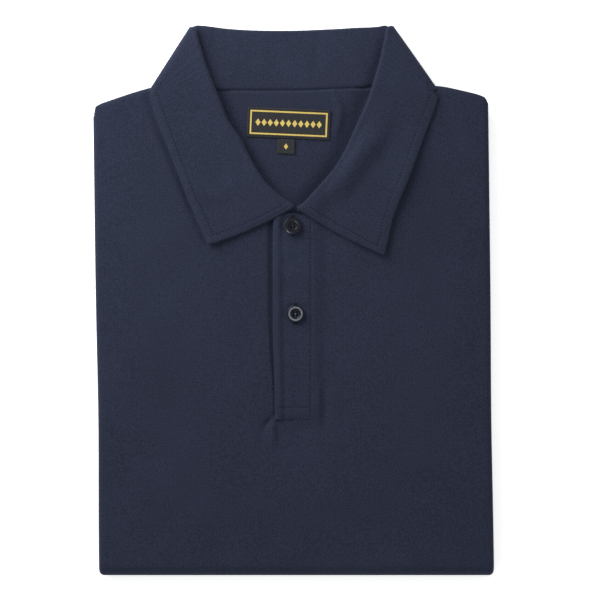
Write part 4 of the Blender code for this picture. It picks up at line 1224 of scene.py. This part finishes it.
@dataclass(frozen=True)
class Placket:
    """Button placket: a folded strip with a free left edge over a second strip in the front's slit."""

    stack: FoldedStack
    left: float = -12.9
    right: float = 13.0
    foot: float = -84.8
    top: float = 62.3
    corner: float = 7.5
    top_dip: float = 1.4
    foot_share: float = 0.78
    dimple_radius: float = 6.7
    dimple_depth: float = 0.5
    edge_spread: float = -1.3
    wall: float = 1.6
    pitch: float = 0.85
    row_pitch: float = 1.2
    seam_stitch_x: float = 12.0
    box_left: float = -10.7
    box_lines: tuple[float, float] = (-76.4, -83.9)
    groove: float = 0.4
    box_groove: float = 0.54
    # Where the free edge's cloth humps or dips across the strip: x, rise, width
    edge_roll: tuple[tuple[float, float, float], ...] = ((-9.8, 1.0, 2.3), (-6.6, -0.3, 1.5))

    def top_y(self, x: Array) -> Array:
        """Y of the upper strip's top edge at x, with a rounded left corner.

        Args:
            x: Places across.

        Returns:
            The edge's y at those places.
        """
        inset = np.maximum(0.0, self.corner - (x - self.left))
        rounded = self.top - self.corner + np.sqrt(np.maximum(0.0, self.corner ** 2 - inset ** 2))
        return np.where(inset > 0.0, rounded, self.top - self.top_dip * ease(x / 5.0))

    def face(self, x: Array, y: Array) -> Array:
        """Height of the upper strip's face, with its drag lines, rolled free edge and stitch grooves.

        Args:
            x: Places across.
            y: Places along.

        Returns:
            The height at those places.
        """
        share = self.foot_share + (1.0 - self.foot_share) * ease((y - self.foot) / 9.0)
        level = self.stack.front_top(x, y) + self.stack.placket_rise_height * share + creased(PLACKET_CREASES, x, y)
        level = level + sum(rise * bell(x - at, width) for at, rise, width in self.edge_roll) - self.dimples(x, y)
        seam = self.groove * bell(x - self.seam_stitch_x, 0.7) * ease((y + 85.5) / 1.5)
        in_box = ease((x - self.box_left + 0.6) / 0.8) * ease((self.seam_stitch_x + 0.6 - x) / 0.8)
        box = self.box_groove * sum(bell(y - line, 0.75) for line in self.box_lines) * in_box
        side = self.groove * bell(x - self.box_left, 0.6) * ease((self.box_lines[0] + 1.0 - y) / 1.5)
        return level - np.maximum(seam, np.maximum(box, side))

    def edge_shift(self, x: Array, y: Array) -> Array:
        """Sideways shift of the free edge, which spreads to the left towards the collar."""
        return self.edge_spread * ease((y + 66.0) / 50.0) * ease((-x - 3.0) / 7.0)

    def dimples(self, x: Array, y: Array) -> Array:
        """Depth of the ring that each button presses into the cloth round it."""
        return self.dimple_depth * sum(bell(np.hypot(x - at[0], y - at[1]) - self.dimple_radius, 1.1)
                                       for at in BUTTON_CENTRES)

    def strip(self, name: str, x: Array, top_of: Callable[[Array], Array], foot: float,
              face_of: Callable[[Array, Array], Array], shares_slit: bool = False) -> bpy.types.Object:
        """A strip down the front as one closed cloth.

        Args:
            name: Name of the piece.
            x: Places of its columns.
            top_of: Y of its top edge at x.
            foot: Y of its foot.
            face_of: Height of its face at x, y.
            shares_slit: True if it fills the slit beneath the other strip.

        Returns:
            The closed piece.
        """
        count = math.ceil((self.top - self.foot) / self.row_pitch)
        shares = np.concatenate([np.linspace(0.0, 0.02, 5), np.linspace(0.02, 1.0, count)[1:]])[:, None]
        y = top_of(x) + (foot - top_of(x)) * shares
        x = np.broadcast_to(x, y.shape)
        level = face_of(x, y)
        under = self.stack.front_top(x, y) + (-self.wall if shares_slit else self.stack.seam_gap)
        spread = x if shares_slit else x + self.edge_shift(x, y)
        outer, inner = (np.stack([spread, y, z], axis=2) for z in (level, np.minimum(under, level - 0.8)))
        return cloth_shell(name, outer, inner, outer[..., :2], rim_bulge=0.4)

    def build_upper(self) -> bpy.types.Object:
        """Build the strip with the buttonholes."""
        x = steps_between((self.left, self.right), self.pitch)
        return self.strip("placket_upper_strip", x, self.top_y, self.foot, self.face)

    def build_lower(self) -> bpy.types.Object:
        """Build the strip that the buttons are sewn to.

        Returns:
            The closed piece.
        """
        gap = self.stack.seam_gap
        x = steps_between((self.stack.slit_left + gap, self.right - gap), 2.2)
        return self.strip("placket_lower_strip", x, lambda at: self.top_y(np.maximum(at, 0.0)) - gap,
                          self.stack.slit_foot + gap, self.stack.front_top, shares_slit=True)

    def line(self, start: tuple[float, float], end: tuple[float, float]) -> tuple[Array, Array]:
        """Line on the strip's face between two plan points, with its normals."""
        x, y = np.linspace(start, end, 90).T
        return np.stack([x, y, self.face(x, y)], axis=1), np.broadcast_to((0.0, 0.0, 1.0), (len(x), 3))

    def seam_runs(self) -> list[tuple[Array, Array]]:
        """Run the edge stitch down the sewn side and round the box at the foot.

        Returns:
            Its lines and normals.
        """
        (high, low), left, right = self.box_lines, self.box_left, self.seam_stitch_x
        ends = (((right, 58.0), (right, low)), ((left, high), (right, high)),
                ((left, low), (right, low)), ((left, high), (left, low)))
        return [self.line(start, end) for start, end in ends]

    def buttonhole_runs(self, centre: tuple[float, float], half_length: float = 7.5,
                        half_width: float = 1.2) -> list[tuple[Array, Array]]:
        """Short stitches across both sides and both ends of one upright buttonhole.

        Args:
            centre: Its middle.
            half_length: Half its length.
            half_width: Half its width over the stitches.

        Returns:
            Their lines and normals.
        """
        ends = [((side * 0.25, y), (side * half_width, y)) for side in (-1.0, 1.0)
                for y in np.arange(-half_length + 0.6, half_length - 0.3, 0.62)]
        ends += [((-half_width - 0.3, y), (half_width + 0.3, y)) for end in (-1.0, 1.0)
                 for y in (end * (half_length - 0.1 - 0.45 * k) for k in range(3))]
        return [self.line(np.add(centre, start), np.add(centre, end)) for start, end in ends]


@dataclass(frozen=True)
class Button:
    """Four-hole shirt button with a raised rim, 12 mm across, sewn with two strands."""

    number: int
    centre: tuple[float, float]
    placket: Placket
    diameter: float = 12.4
    thickness: float = 2.6
    dish: float = 0.9
    hole: float = 1.25
    hole_pitch: float = 2.3
    tilt: tuple[float, float] = (0.0, 0.0)
    segments: int = 72

    @property
    def base(self) -> float:
        """Height of its underside."""
        stack = self.placket.stack
        return float(stack.front_top(*self.centre)) + stack.placket_rise_height + stack.seam_gap

    def profile(self) -> Array:
        """Rounded section from the underside to the dish, as (radius, height) rows.

        Returns:
            The rows.
        """
        rows = [(1.5, 0.0), (0.9, 0.03), (0.4, 0.2), (0.08, 0.55), (0.0, 0.95), (0.0, 1.6), (0.04, 2.1), (0.12, 2.38),
                (0.24, 2.54), (0.42, self.thickness), (1.6, self.thickness), (2.75, 2.6), (3.0, 2.54), (3.14, 2.36),
                (3.24, 2.0), (3.32, 1.78), (3.42, self.thickness - self.dish)]
        return (self.diameter / 2.0, 0.0) + np.array(rows) * (-1.0, 1.0)

    def level(self, x: Array, y: Array, height: Array) -> Array:
        """Height over the table of a point of the button, which may lie slightly tilted."""
        lean = (x - self.centre[0]) * self.tilt[0] + (y - self.centre[1]) * self.tilt[1]
        return self.base + height + lean + 6.0 * (abs(self.tilt[0]) + abs(self.tilt[1]))

    def build(self) -> bpy.types.Object:
        """Build the button as one closed lathed form with four bored holes.

        Returns:
            The closed piece.
        """
        points, faces = [], []

        def lathe(centre: tuple[float, float], rows: Sequence[tuple[float, float]], count: int) -> list[list[int]]:
            """Turn a section round a centre.

            Args:
                centre: Plan point that it turns round.
                rows: Radius and height of each ring.
                count: Points in a ring.

            Returns:
                Vertex numbers of the rings.
            """
            rings = []
            for radius, height in rows:
                turns = 2.0 * math.pi * np.arange(count) / count
                x, y = centre[0] + radius * np.cos(turns), centre[1] + radius * np.sin(turns)
                rings.append(list(range(len(points), len(points) + count)))
                points.extend(zip(x, y, self.level(x, y, height)))
            for low, high in zip(rings, rings[1:]):
                faces.extend([low[k - 1], low[k], high[k], high[k - 1]] for k in range(count))
            return rings

        rings = lathe(self.centre, self.profile(), self.segments)
        dish, half, reach = self.thickness - self.dish, self.hole / 2.0, self.hole_pitch / 2.0
        bore = ((half + 0.14, 0.0), (half, 0.14), (half, dish - 0.12), (half + 0.03, dish - 0.04),
                (half + 0.09, dish))
        holes = [lathe((self.centre[0] + a * reach, self.centre[1] + b * reach), bore, 20)
                 for a, b in ((1, 1), (-1, 1), (-1, -1), (1, -1))]
        for end in (0, -1):
            loops = [rings[end]] + [hole[end][::-1] for hole in holes]
            flat = [vertex for loop in loops for vertex in loop]
            outlines = [[Vector((points[v][0], points[v][1], 0.0)) for v in loop] for loop in loops]
            faces += [[flat[corner] for corner in triangle] for triangle in tessellate_polygon(outlines)]
        return link_mesh(f"shirt_button_{self.number}", np.array(points), faces,
                         np.array(points) - (*self.centre, self.base), weld=0.005)

    def thread_runs(self) -> list[tuple[Array, Array]]:
        """Run two upright pairs of strands through the holes.

        Returns:
            Their lines and normals.
        """
        runs, half = [], self.hole_pitch / 2.0
        y = np.linspace(-half - 0.1, half + 0.1, 16)
        arch = self.thickness - self.dish + 0.12 - 0.9 * np.maximum(0.0, np.abs(y) - half + 0.5) ** 1.5
        for x in (-half - 0.24, -half + 0.24, half - 0.24, half + 0.24):
            at_x, at_y = self.centre[0] + x + 0.0 * y, self.centre[1] + y
            path = np.stack([at_x, at_y, self.level(at_x, at_y, arch)], axis=1)
            runs.append((path, np.broadcast_to((0.0, 0.0, 1.0), path.shape)))
        return runs


@dataclass(frozen=True)
class NeckLabel:
    """A woven label that lies on the back panel inside the neck."""

    name: str
    back: BackPanel
    centre: tuple[float, float]
    size: tuple[float, float]
    turn_degrees: float = -2.5
    wall: float = 0.75
    lift: float = 0.35
    pucker: float = 0.12

    def place(self, u: Array, v: Array) -> tuple[Array, Array]:
        """Plan point of a point of the label."""
        along, across = math.cos(math.radians(self.turn_degrees)), math.sin(math.radians(self.turn_degrees))
        return self.centre[0] + u * along - v * across, self.centre[1] + u * across + v * along

    def face(self, u: Array, v: Array) -> Array:
        """Height of the label's face: it follows the panel smoothly and puckers a little along its edges.

        Args:
            u: Places along the label.
            v: Places across the label.

        Returns:
            The height at those places.
        """
        level = self.back.face(*self.place(u, v)) + self.lift + self.wall
        end, side = 2.0 * np.abs(u) / self.size[0], 2.0 * np.abs(v) / self.size[1]
        return level + self.pucker * np.sin(u / 2.6) * ease((side - 0.3) / 0.7) + 0.1 * ease((end - 0.8) / 0.2)

    def build(self) -> bpy.types.Object:
        """Build the label as one closed cloth.

        Returns:
            The closed piece.
        """
        half_u, half_v = self.size[0] / 2.0, self.size[1] / 2.0
        u, v = np.meshgrid(steps_between((-half_u, half_u), 0.9), steps_between((half_v, -half_v), 0.9))
        outer = np.stack([*self.place(u, v), self.face(u, v)], axis=2)
        return cloth_shell(self.name, outer, outer - (0.0, 0.0, self.wall), np.stack([u, v], axis=2), rim_bulge=0.5)

    def edge_runs(self, inset: float = 0.9) -> list[tuple[Array, Array]]:
        """Run stitches just inside the label's four edges.

        Args:
            inset: Distance from the edges.

        Returns:
            Their lines and normals.
        """
        half_u, half_v = self.size[0] / 2.0 - inset, self.size[1] / 2.0 - inset
        corners = ((-half_u, half_v), (half_u, half_v), (half_u, -half_v), (-half_u, -half_v), (-half_u, half_v))
        runs = []
        for start, end in zip(corners, corners[1:]):
            u, v = np.linspace(start, end, 60).T
            path = np.stack([*self.place(u, v), self.face(u, v)], axis=1)
            runs.append((path, np.broadcast_to((0.0, 0.0, 1.0), path.shape)))
        return runs


@dataclass(frozen=True)
class Sewing:
    """Rows of stitches: short thick strands whose ends dip into the cloth."""

    diameter: float = 0.54
    stitch: float = 1.5
    gap: float = 0.9
    proud: float = 0.06
    dip: float = 0.3
    sides: int = 6

    def build(self, name: str, runs: Sequence[tuple[Array, Array]], whole: bool = False) -> bpy.types.Object:
        """Build every stitch of some runs as one piece.

        Args:
            name: Name of the piece.
            runs: Lines on the cloth with their normals.
            whole: True if each run is one strand.

        Returns:
            The closed strands as one object.
        """
        rings = []
        shares = np.array((0.0, 0.14, 0.5, 0.86, 1.0))
        heights = np.array((-self.dip, 0.0, self.proud, 0.0, -self.dip))[:, None]
        radii = self.diameter / 2.0 * np.array((0.55, 0.95, 1.0, 0.95, 0.55))[:, None, None]
        turns = 2.0 * math.pi * np.arange(self.sides)[:, None] / self.sides
        for path, normals in runs:
            run = np.concatenate([[0.0], np.cumsum(np.linalg.norm(np.diff(path, axis=0), axis=1))])
            count = 1 if whole else max(1, round(run[-1] / (self.stitch + self.gap)))
            pitch = run[-1] / count
            length = run[-1] if whole else pitch - self.gap
            for k in range(count):
                at = k * pitch + (pitch - length) / 2.0 + shares * length
                middle, out = (np.stack([np.interp(at, run, line[:, axis]) for axis in range(3)], axis=1)
                               for line in (path, normals))
                out = unit(out)
                side = unit(np.cross(out, unit(middle[-1] - middle[0])))
                around = side[:, None] * np.cos(turns) + out[:, None] * np.sin(turns)
                rings.append((middle + out * heights)[:, None] + radii * around)
        points = np.array(rings).reshape(-1, 3)
        # One strand's faces: its rings joined, and its two ends closed
        strand = np.arange(len(shares) * self.sides).reshape(len(shares), self.sides)
        turned = np.roll(strand, -1, axis=1)
        joined = np.stack([strand[:-1], turned[:-1], turned[1:], strand[1:]], axis=2)
        one = joined.reshape(-1, 4).tolist() + [strand[0, ::-1].tolist(), strand[-1].tolist()]
        faces = [[first + vertex for vertex in face]
                 for first in range(0, len(points), strand.size) for face in one]
        return link_mesh(name, points, faces, points)


# ---------------------------------------------------------------- finishes


def linear(colour: str) -> tuple[float, float, float, float]:
    """Linear colour of an sRGB hex value."""
    parts = [int(colour[k:k + 2], 16) / 255.0 for k in (1, 3, 5)]
    return tuple(c / 12.92 if c <= 0.04045 else ((c + 0.055) / 1.055) ** 2.4 for c in parts) + (1.0,)


def add_node(tree: bpy.types.NodeTree, kind: str, values: dict[str | int, object]) -> bpy.types.Node:
    """Add a node with its settings and links.

    Args:
        tree: Node tree that it goes into.
        kind: Type of node.
        values: By name of a property, or by name or number of an input: its value, or the socket that feeds it.

    Returns:
        The new node.
    """
    node = tree.nodes.new(kind)
    for key, value in values.items():
        if isinstance(value, bpy.types.NodeSocket):
            tree.links.new(value, node.inputs[key])
        elif isinstance(key, str) and hasattr(node, key):
            setattr(node, key, value)
        else:
            node.inputs[key].default_value = value
    return node


def new_material(name: str, constants: dict[str, object]
                 ) -> tuple[bpy.types.Material, bpy.types.NodeTree, bpy.types.Node]:
    """Make a material whose Principled shader has some constant inputs.

    Args:
        name: Name of the finish.
        constants: Values by name of the input.

    Returns:
        The material, its tree and its shader.
    """
    material = bpy.data.materials.new(name)
    material.use_nodes = True
    shader = material.node_tree.nodes["Principled BSDF"]
    for key, value in constants.items():
        shader.inputs[key].default_value = value
    return material, material.node_tree, shader


@dataclass(frozen=True)
class CombedJersey:
    """Combed cotton jersey, reactive-dyed navy: matt, with a faint fuzz that lightens it at a slant."""

    name: str = "combed_cotton_jersey"
    deep: str = "#1E202B"
    pale: str = "#303547"
    # Real wales are about 0.6 mm apart; drawn about twice as coarse, so that they show
    wale_mm: float = 1.5
    course_mm: float = 1.3
    fleck_mm: float = 1.05
    cloud_mm: float = 34.0
    relief_mm: float = 0.16
    roughness: float = 0.93
    sheen: float = 0.16
    fuzz: str = "#A9B4D6"

    def material(self) -> bpy.types.Material:
        """Build the knit: stitch columns and rows in the bump, fibre flecks and dye clouds in the colour.

        Returns:
            The finish.
        """
        material, tree, shader = new_material(self.name, {
            "Roughness": self.roughness, "Specular IOR Level": 0.06, "Sheen Weight": self.sheen,
            "Sheen Roughness": 0.45, "Sheen Tint": linear(self.fuzz)})
        weave = add_node(tree, "ShaderNodeAttribute", {"attribute_name": "weave"})
        place = add_node(tree, "ShaderNodeSeparateXYZ", {0: weave.outputs["Vector"]})
        spot = add_node(tree, "ShaderNodeTexCoord", {}).outputs["Object"]
        fleck = add_node(tree, "ShaderNodeTexNoise", {"Scale": 1.0 / (self.fleck_mm * MM), "Detail": 2.0,
                                                      "Roughness": 0.55, "Vector": spot})
        cloud = add_node(tree, "ShaderNodeTexNoise", {"Scale": 1.0 / (self.cloud_mm * MM), "Detail": 2.0,
                                                      "Vector": spot})
        values = {"x": place.outputs["X"], "y": place.outputs["Y"], "fleck": fleck.outputs["Fac"],
                  "cloud": cloud.outputs["Fac"]}
        # Each step: the value it gives, its operation, and the values or numbers that it takes
        steps = (
            ("wale", "MULTIPLY", "x", math.pi / (self.wale_mm * MM)),
            ("wale", "SINE", "wale"),
            ("wale", "ABSOLUTE", "wale"),
            ("course", "MULTIPLY", "y", 2.0 * math.pi / (self.course_mm * MM)),
            ("loop", "MULTIPLY_ADD", "wale", 2.4, "course"),
            ("loop", "SINE", "loop"),
            ("knit", "MULTIPLY_ADD", "loop", 0.35, "wale"),
            ("height", "MULTIPLY_ADD", "fleck", 0.9, "knit"),
            ("mottle", "MULTIPLY", "cloud", 0.2),
            ("mottle", "ADD", "fleck", "mottle"),
            ("shade", "MULTIPLY_ADD", "knit", 0.1, "mottle"),
        )
        for name, operation, *terms in steps:
            inputs = {number: values.get(term, term) for number, term in enumerate(terms)}
            values[name] = add_node(tree, "ShaderNodeMath", {"operation": operation, **inputs}).outputs[0]
        bump = add_node(tree, "ShaderNodeBump", {"Strength": 0.42, "Distance": self.relief_mm * MM,
                                                 "Height": values["height"]})
        share = add_node(tree, "ShaderNodeMapRange", {"From Min": 0.34, "From Max": 0.98, "Value": values["shade"]})
        colour = add_node(tree, "ShaderNodeMix", {"data_type": "RGBA", 0: share.outputs[0], 6: linear(self.deep),
                                                  7: linear(self.pale)})
        tree.links.new(colour.outputs[2], shader.inputs["Base Color"])
        tree.links.new(bump.outputs[0], shader.inputs["Normal"])
        return material


@dataclass(frozen=True)
class SpunThread:
    """Spun polyester sewing thread: twisted, with a slight gleam along its plies."""

    name: str
    colour: str
    ply_mm: float = 0.5
    roughness: float = 0.6

    def material(self) -> bpy.types.Material:
        """Build the twist as slanting bands in the bump and a little colour variation.

        Returns:
            The finish.
        """
        material, tree, shader = new_material(self.name, {"Roughness": self.roughness, "Specular IOR Level": 0.2})
        spot = add_node(tree, "ShaderNodeTexCoord", {})
        twist = add_node(tree, "ShaderNodeTexWave", {
            "Scale": 0.31 / (self.ply_mm * MM), "Distortion": 1.5, "bands_direction": "DIAGONAL",
            "Vector": spot.outputs["Object"]}).outputs["Fac"]
        bump = add_node(tree, "ShaderNodeBump", {"Strength": 0.5, "Distance": 0.05 * MM, "Height": twist})
        base = linear(self.colour)
        deep = tuple(0.7 * part for part in base[:3]) + (1.0,)
        colour = add_node(tree, "ShaderNodeMix", {"data_type": "RGBA", 0: twist, 6: deep, 7: base})
        tree.links.new(colour.outputs[2], shader.inputs["Base Color"])
        tree.links.new(bump.outputs[0], shader.inputs["Normal"])
        return material


@dataclass(frozen=True)
class PolishedResin:
    """Cast polyester button resin, tumbled to a polish: clear gloss over faint clouding."""

    name: str = "polished_button_resin"
    deep: str = "#05060A"
    pale: str = "#0C0E17"
    cloud_mm: float = 4.0
    mark_mm: float = 0.4
    roughness: float = 0.2

    def material(self) -> bpy.types.Material:
        """Build the clouding in the colour, and fine tumbling marks in the roughness.

        Returns:
            The finish.
        """
        material, tree, shader = new_material(self.name, {
            "IOR": 1.5, "Specular IOR Level": 0.38, "Specular Tint": (0.86, 0.9, 1.0, 1.0)})
        spot = add_node(tree, "ShaderNodeTexCoord", {}).outputs["Object"]
        cloud = add_node(tree, "ShaderNodeTexNoise", {"Scale": 1.0 / (self.cloud_mm * MM), "Distortion": 1.2,
                                                      "Vector": spot})
        colour = add_node(tree, "ShaderNodeMix", {"data_type": "RGBA", 0: cloud.outputs["Fac"], 6: linear(self.deep),
                                                  7: linear(self.pale)})
        marks = add_node(tree, "ShaderNodeTexNoise", {"Scale": 1.0 / (self.mark_mm * MM), "Vector": spot})
        rough = add_node(tree, "ShaderNodeMapRange", {"Value": marks.outputs["Fac"], "To Min": 0.9 * self.roughness,
                                                      "To Max": 1.15 * self.roughness})
        tree.links.new(colour.outputs[2], shader.inputs["Base Color"])
        tree.links.new(rough.outputs[0], shader.inputs["Roughness"])
        return material


@dataclass(frozen=True)
class DamaskLabel:
    """Damask-woven label: black satin ground, with its border and a plain row of lozenges in gold yarn."""

    name: str
    half_length: float
    half_width: float
    inset: float
    line: float
    motif_pitch: float
    motif_reach: float
    motif_half: float
    ground: str = "#17171A"
    yarn: str = "#D9BE62"
    # Real label yarns are about 0.2 mm apart; drawn coarser, so that they show
    pick_mm: float = 0.7

    def material(self) -> bpy.types.Material:
        """Build the border and the row of lozenges as masks over a ribbed weave.

        Returns:
            The finish.
        """
        material, tree, shader = new_material(self.name, {"Roughness": 0.62, "Specular IOR Level": 0.35,
                                                          "Sheen Weight": 0.1})
        weave = add_node(tree, "ShaderNodeAttribute", {"attribute_name": "weave"})
        place = add_node(tree, "ShaderNodeSeparateXYZ", {0: weave.outputs["Vector"]})
        values = {"u": place.outputs["X"], "v": place.outputs["Y"]}
        # Each step: the value it gives, its operation, and the values or numbers that it takes
        steps = (
            ("size_u", "ABSOLUTE", "u"),
            ("size_v", "ABSOLUTE", "v"),
            ("to_u", "SUBTRACT", "size_u", (self.half_length - self.inset) * MM),
            ("to_v", "SUBTRACT", "size_v", (self.half_width - self.inset) * MM),
            ("border", "MAXIMUM", "to_u", "to_v"),
            ("border", "ABSOLUTE", "border"),
            ("border", "LESS_THAN", "border", self.line / 2.0 * MM),
            ("motif", "ADD", "u", self.motif_pitch * 50.5 * MM),
            ("motif", "MODULO", "motif", self.motif_pitch * MM),
            ("motif", "SUBTRACT", "motif", self.motif_pitch / 2.0 * MM),
            ("motif", "ABSOLUTE", "motif"),
            ("slope", "MULTIPLY", "size_v", 0.7),
            ("motif", "ADD", "motif", "slope"),
            ("motif", "LESS_THAN", "motif", self.motif_half * MM),
            ("reach", "LESS_THAN", "size_u", self.motif_reach * MM),
            ("motif", "MULTIPLY", "motif", "reach"),
            ("gold", "MAXIMUM", "border", "motif"),
            ("rib", "MULTIPLY", "v", 2.0 * math.pi / (self.pick_mm * MM)),
            ("rib", "SINE", "rib"),
            ("warp", "MULTIPLY", "u", 2.0 * math.pi / (self.pick_mm * 1.3 * MM)),
            ("warp", "SINE", "warp"),
            ("satin", "MULTIPLY_ADD", "rib", 0.6, "warp"),
            ("height", "MULTIPLY_ADD", "gold", 3.0, "satin"),
        )
        for name, operation, *terms in steps:
            inputs = {number: values.get(term, term) for number, term in enumerate(terms)}
            values[name] = add_node(tree, "ShaderNodeMath", {"operation": operation, **inputs}).outputs[0]
        bump = add_node(tree, "ShaderNodeBump", {"Strength": 0.5, "Distance": 0.09 * MM, "Height": values["height"]})
        shade = add_node(tree, "ShaderNodeMapRange", {"From Min": -1.6, "From Max": 1.6, "To Min": 0.55,
                                                      "To Max": 1.15, "Value": values["satin"]})
        colour = add_node(tree, "ShaderNodeMix", {"data_type": "RGBA", 0: values["gold"], 6: linear(self.ground),
                                                  7: linear(self.yarn)})
        shaded = add_node(tree, "ShaderNodeVectorMath", {"operation": "SCALE", 0: colour.outputs[2],
                                                         "Scale": shade.outputs[0]})
        tree.links.new(shaded.outputs[0], shader.inputs["Base Color"])
        tree.links.new(bump.outputs[0], shader.inputs["Normal"])
        return material


@dataclass(frozen=True)
class PaperFloor:
    """Seamless studio paper: plain, matt and white, lit from behind so that it stays white all over."""

    name: str = "white_studio_paper"
    colour: str = "#F7F7F7"
    fibre_mm: float = 0.8
    glow: float = 0.5

    def material(self) -> bpy.types.Material:
        """Build the paper with a very fine fibre relief.

        Returns:
            The finish.
        """
        material, tree, shader = new_material(self.name, {
            "Base Color": linear(self.colour), "Roughness": 0.95, "Specular IOR Level": 0.1,
            "Emission Color": (1.0, 1.0, 1.0, 1.0), "Emission Strength": self.glow})
        spot = add_node(tree, "ShaderNodeTexCoord", {})
        fibre = add_node(tree, "ShaderNodeTexNoise", {"Scale": 1.0 / (self.fibre_mm * MM),
                                                      "Vector": spot.outputs["Object"]})
        bump = add_node(tree, "ShaderNodeBump", {"Strength": 0.05, "Distance": 0.02 * MM,
                                                 "Height": fibre.outputs["Fac"]})
        tree.links.new(bump.outputs[0], shader.inputs["Normal"])
        return material


# ---------------------------------------------------------------- studio


@dataclass(frozen=True)
class Studio:
    """Plain white floor, soft light from the upper left, and a camera straight overhead."""

    floor_half: float = 3.0
    lens_mm: float = 180.0
    sensor_mm: float = 36.0
    frame_width: float = 0.432
    face_height: float = 0.010
    centre: tuple[float, float] = (0.00457, 0.00043)
    sky: float = 0.56
    key_watts: float = 7.4
    key_size: float = 0.62
    key_from: tuple[float, float, float] = (-0.485, 0.515, 0.42)
    key_colour: tuple[float, float, float] = (0.97, 1.00, 1.03)
    gleam_watts: float = 5.4
    gleam_size: float = 0.3
    gleam_from: tuple[float, float, float] = (0.0, 0.0, 2.3)

    def build(self) -> None:
        """Build floor, lights, world and camera."""
        half = self.floor_half / MM
        corners = [(-half, -half, -0.15), (half, -half, -0.15), (half, half, -0.15), (-half, half, -0.15)]
        floor = link_mesh("studio_floor", np.array(corners), [[0, 1, 2, 3]])
        if floor.data.polygons[0].normal.z < 0.0:
            floor.data.flip_normals()
        floor.data.materials.append(PaperFloor().material())
        for name, watts, size, place in (("key_light", self.key_watts, self.key_size, self.key_from),
                                         ("gleam_light", self.gleam_watts, self.gleam_size, self.gleam_from)):
            data = bpy.data.lights.new(name, "AREA")
            data.energy, data.size, data.color = watts, size, self.key_colour
            lamp = bpy.data.objects.new(name, data)
            lamp.location = place
            lamp.rotation_euler = (-Vector(place)).to_track_quat("-Z", "Y").to_euler()
            lamp.visible_camera = False
            bpy.context.collection.objects.link(lamp)
        world = bpy.data.worlds.new("studio_sky")
        world.use_nodes = True
        for key, value in (("Strength", self.sky), ("Color", (1.0, 1.0, 1.0, 1.0))):
            world.node_tree.nodes["Background"].inputs[key].default_value = value
        scene = bpy.context.scene
        scene.world = world
        scene.view_settings.view_transform = "Standard"
        data = bpy.data.cameras.new("overhead_camera")
        data.lens, data.sensor_width, data.clip_start = self.lens_mm, self.sensor_mm, 0.05
        camera = bpy.data.objects.new("overhead_camera", data)
        camera.location = (*self.centre, self.face_height + self.frame_width * self.lens_mm / self.sensor_mm)
        bpy.context.collection.objects.link(camera)
        scene.camera = camera


# ---------------------------------------------------------------- the shirt


def main() -> None:
    """Build and dress every piece in order."""
    stack = FoldedStack()
    jersey = CombedJersey().material()
    thread = SpunThread("navy_spun_polyester", "#10121C").material()
    black_thread = SpunThread("black_spun_polyester", "#141416").material()
    resin = PolishedResin().material()

    front = FrontPanel(stack)
    back = BackPanel(stack, front)
    collar = Collar(stack)
    placket = Placket(stack)
    front_piece = dressed(front.build(), jersey, Slot.JERSEY, "front")
    back_piece = dressed(back.build(), jersey, Slot.JERSEY, "back")
    layers = dressed(HiddenLayers(stack).build(), jersey, Slot.JERSEY, "folded_layers")
    collar_piece = dressed(collar.build(), jersey, Slot.JERSEY, "collar")
    upper = dressed(placket.build_upper(), jersey, Slot.JERSEY, "placket_over")
    lower = dressed(placket.build_lower(), jersey, Slot.JERSEY, "placket_under")

    sewing = Sewing()
    edge_stitch = dressed(sewing.build("collar_edge_stitching", collar.edge_runs()), thread, Slot.JERSEY)
    placket_stitch = dressed(sewing.build("placket_stitching", placket.seam_runs()), thread, Slot.JERSEY)
    hem_stitch = dressed(sewing.build("hem_stitching", front.hem_runs()), thread, Slot.JERSEY)

    holes, strands = [], []
    for number, (centre, tilt) in enumerate(zip(BUTTON_CENTRES, BUTTON_TILTS), start=1):
        button = Button(number, centre, placket, tilt=tilt)
        dressed(button.build(), resin, Slot.RESIN, f"button_{number}")
        holes += placket.buttonhole_runs(centre)
        strands += button.thread_runs()
    fine = Sewing(diameter=0.42, proud=0.0, dip=0.2)
    buttonholes = dressed(fine.build("buttonhole_stitching", holes, whole=True), thread, Slot.JERSEY)
    thick = Sewing(diameter=0.5, proud=0.0, dip=0.9)
    dressed(thick.build("button_threads", strands, whole=True), thread, Slot.JERSEY)

    neck_label = NeckLabel("neck_label", back, (-3.6, 127.2), (59.0, 20.8))
    neck_finish = DamaskLabel("black_gold_damask", 29.5, 10.4, 2.3, 1.15, 4.4, 24.2, 1.85)
    label_piece = dressed(neck_label.build(), neck_finish.material(), Slot.WOVEN, "label")
    size_tab = NeckLabel("size_tab", back, (-5.5, 110.6), (12.0, 10.0), pucker=0.05)
    tab_finish = DamaskLabel("black_gold_tab", 6.0, 5.0, -9.0, 0.1, 12.0, 3.0, 1.5)
    tab_piece = dressed(size_tab.build(), tab_finish.material(), Slot.WOVEN, "size_label")
    dressed(Sewing(diameter=0.36).build("label_stitching", neck_label.edge_runs()), black_thread, Slot.WOVEN)

    Studio().build()


if __name__ == "__main__":
    logging.basicConfig(level=logging.INFO, format="%(name)s: %(message)s")
    main()
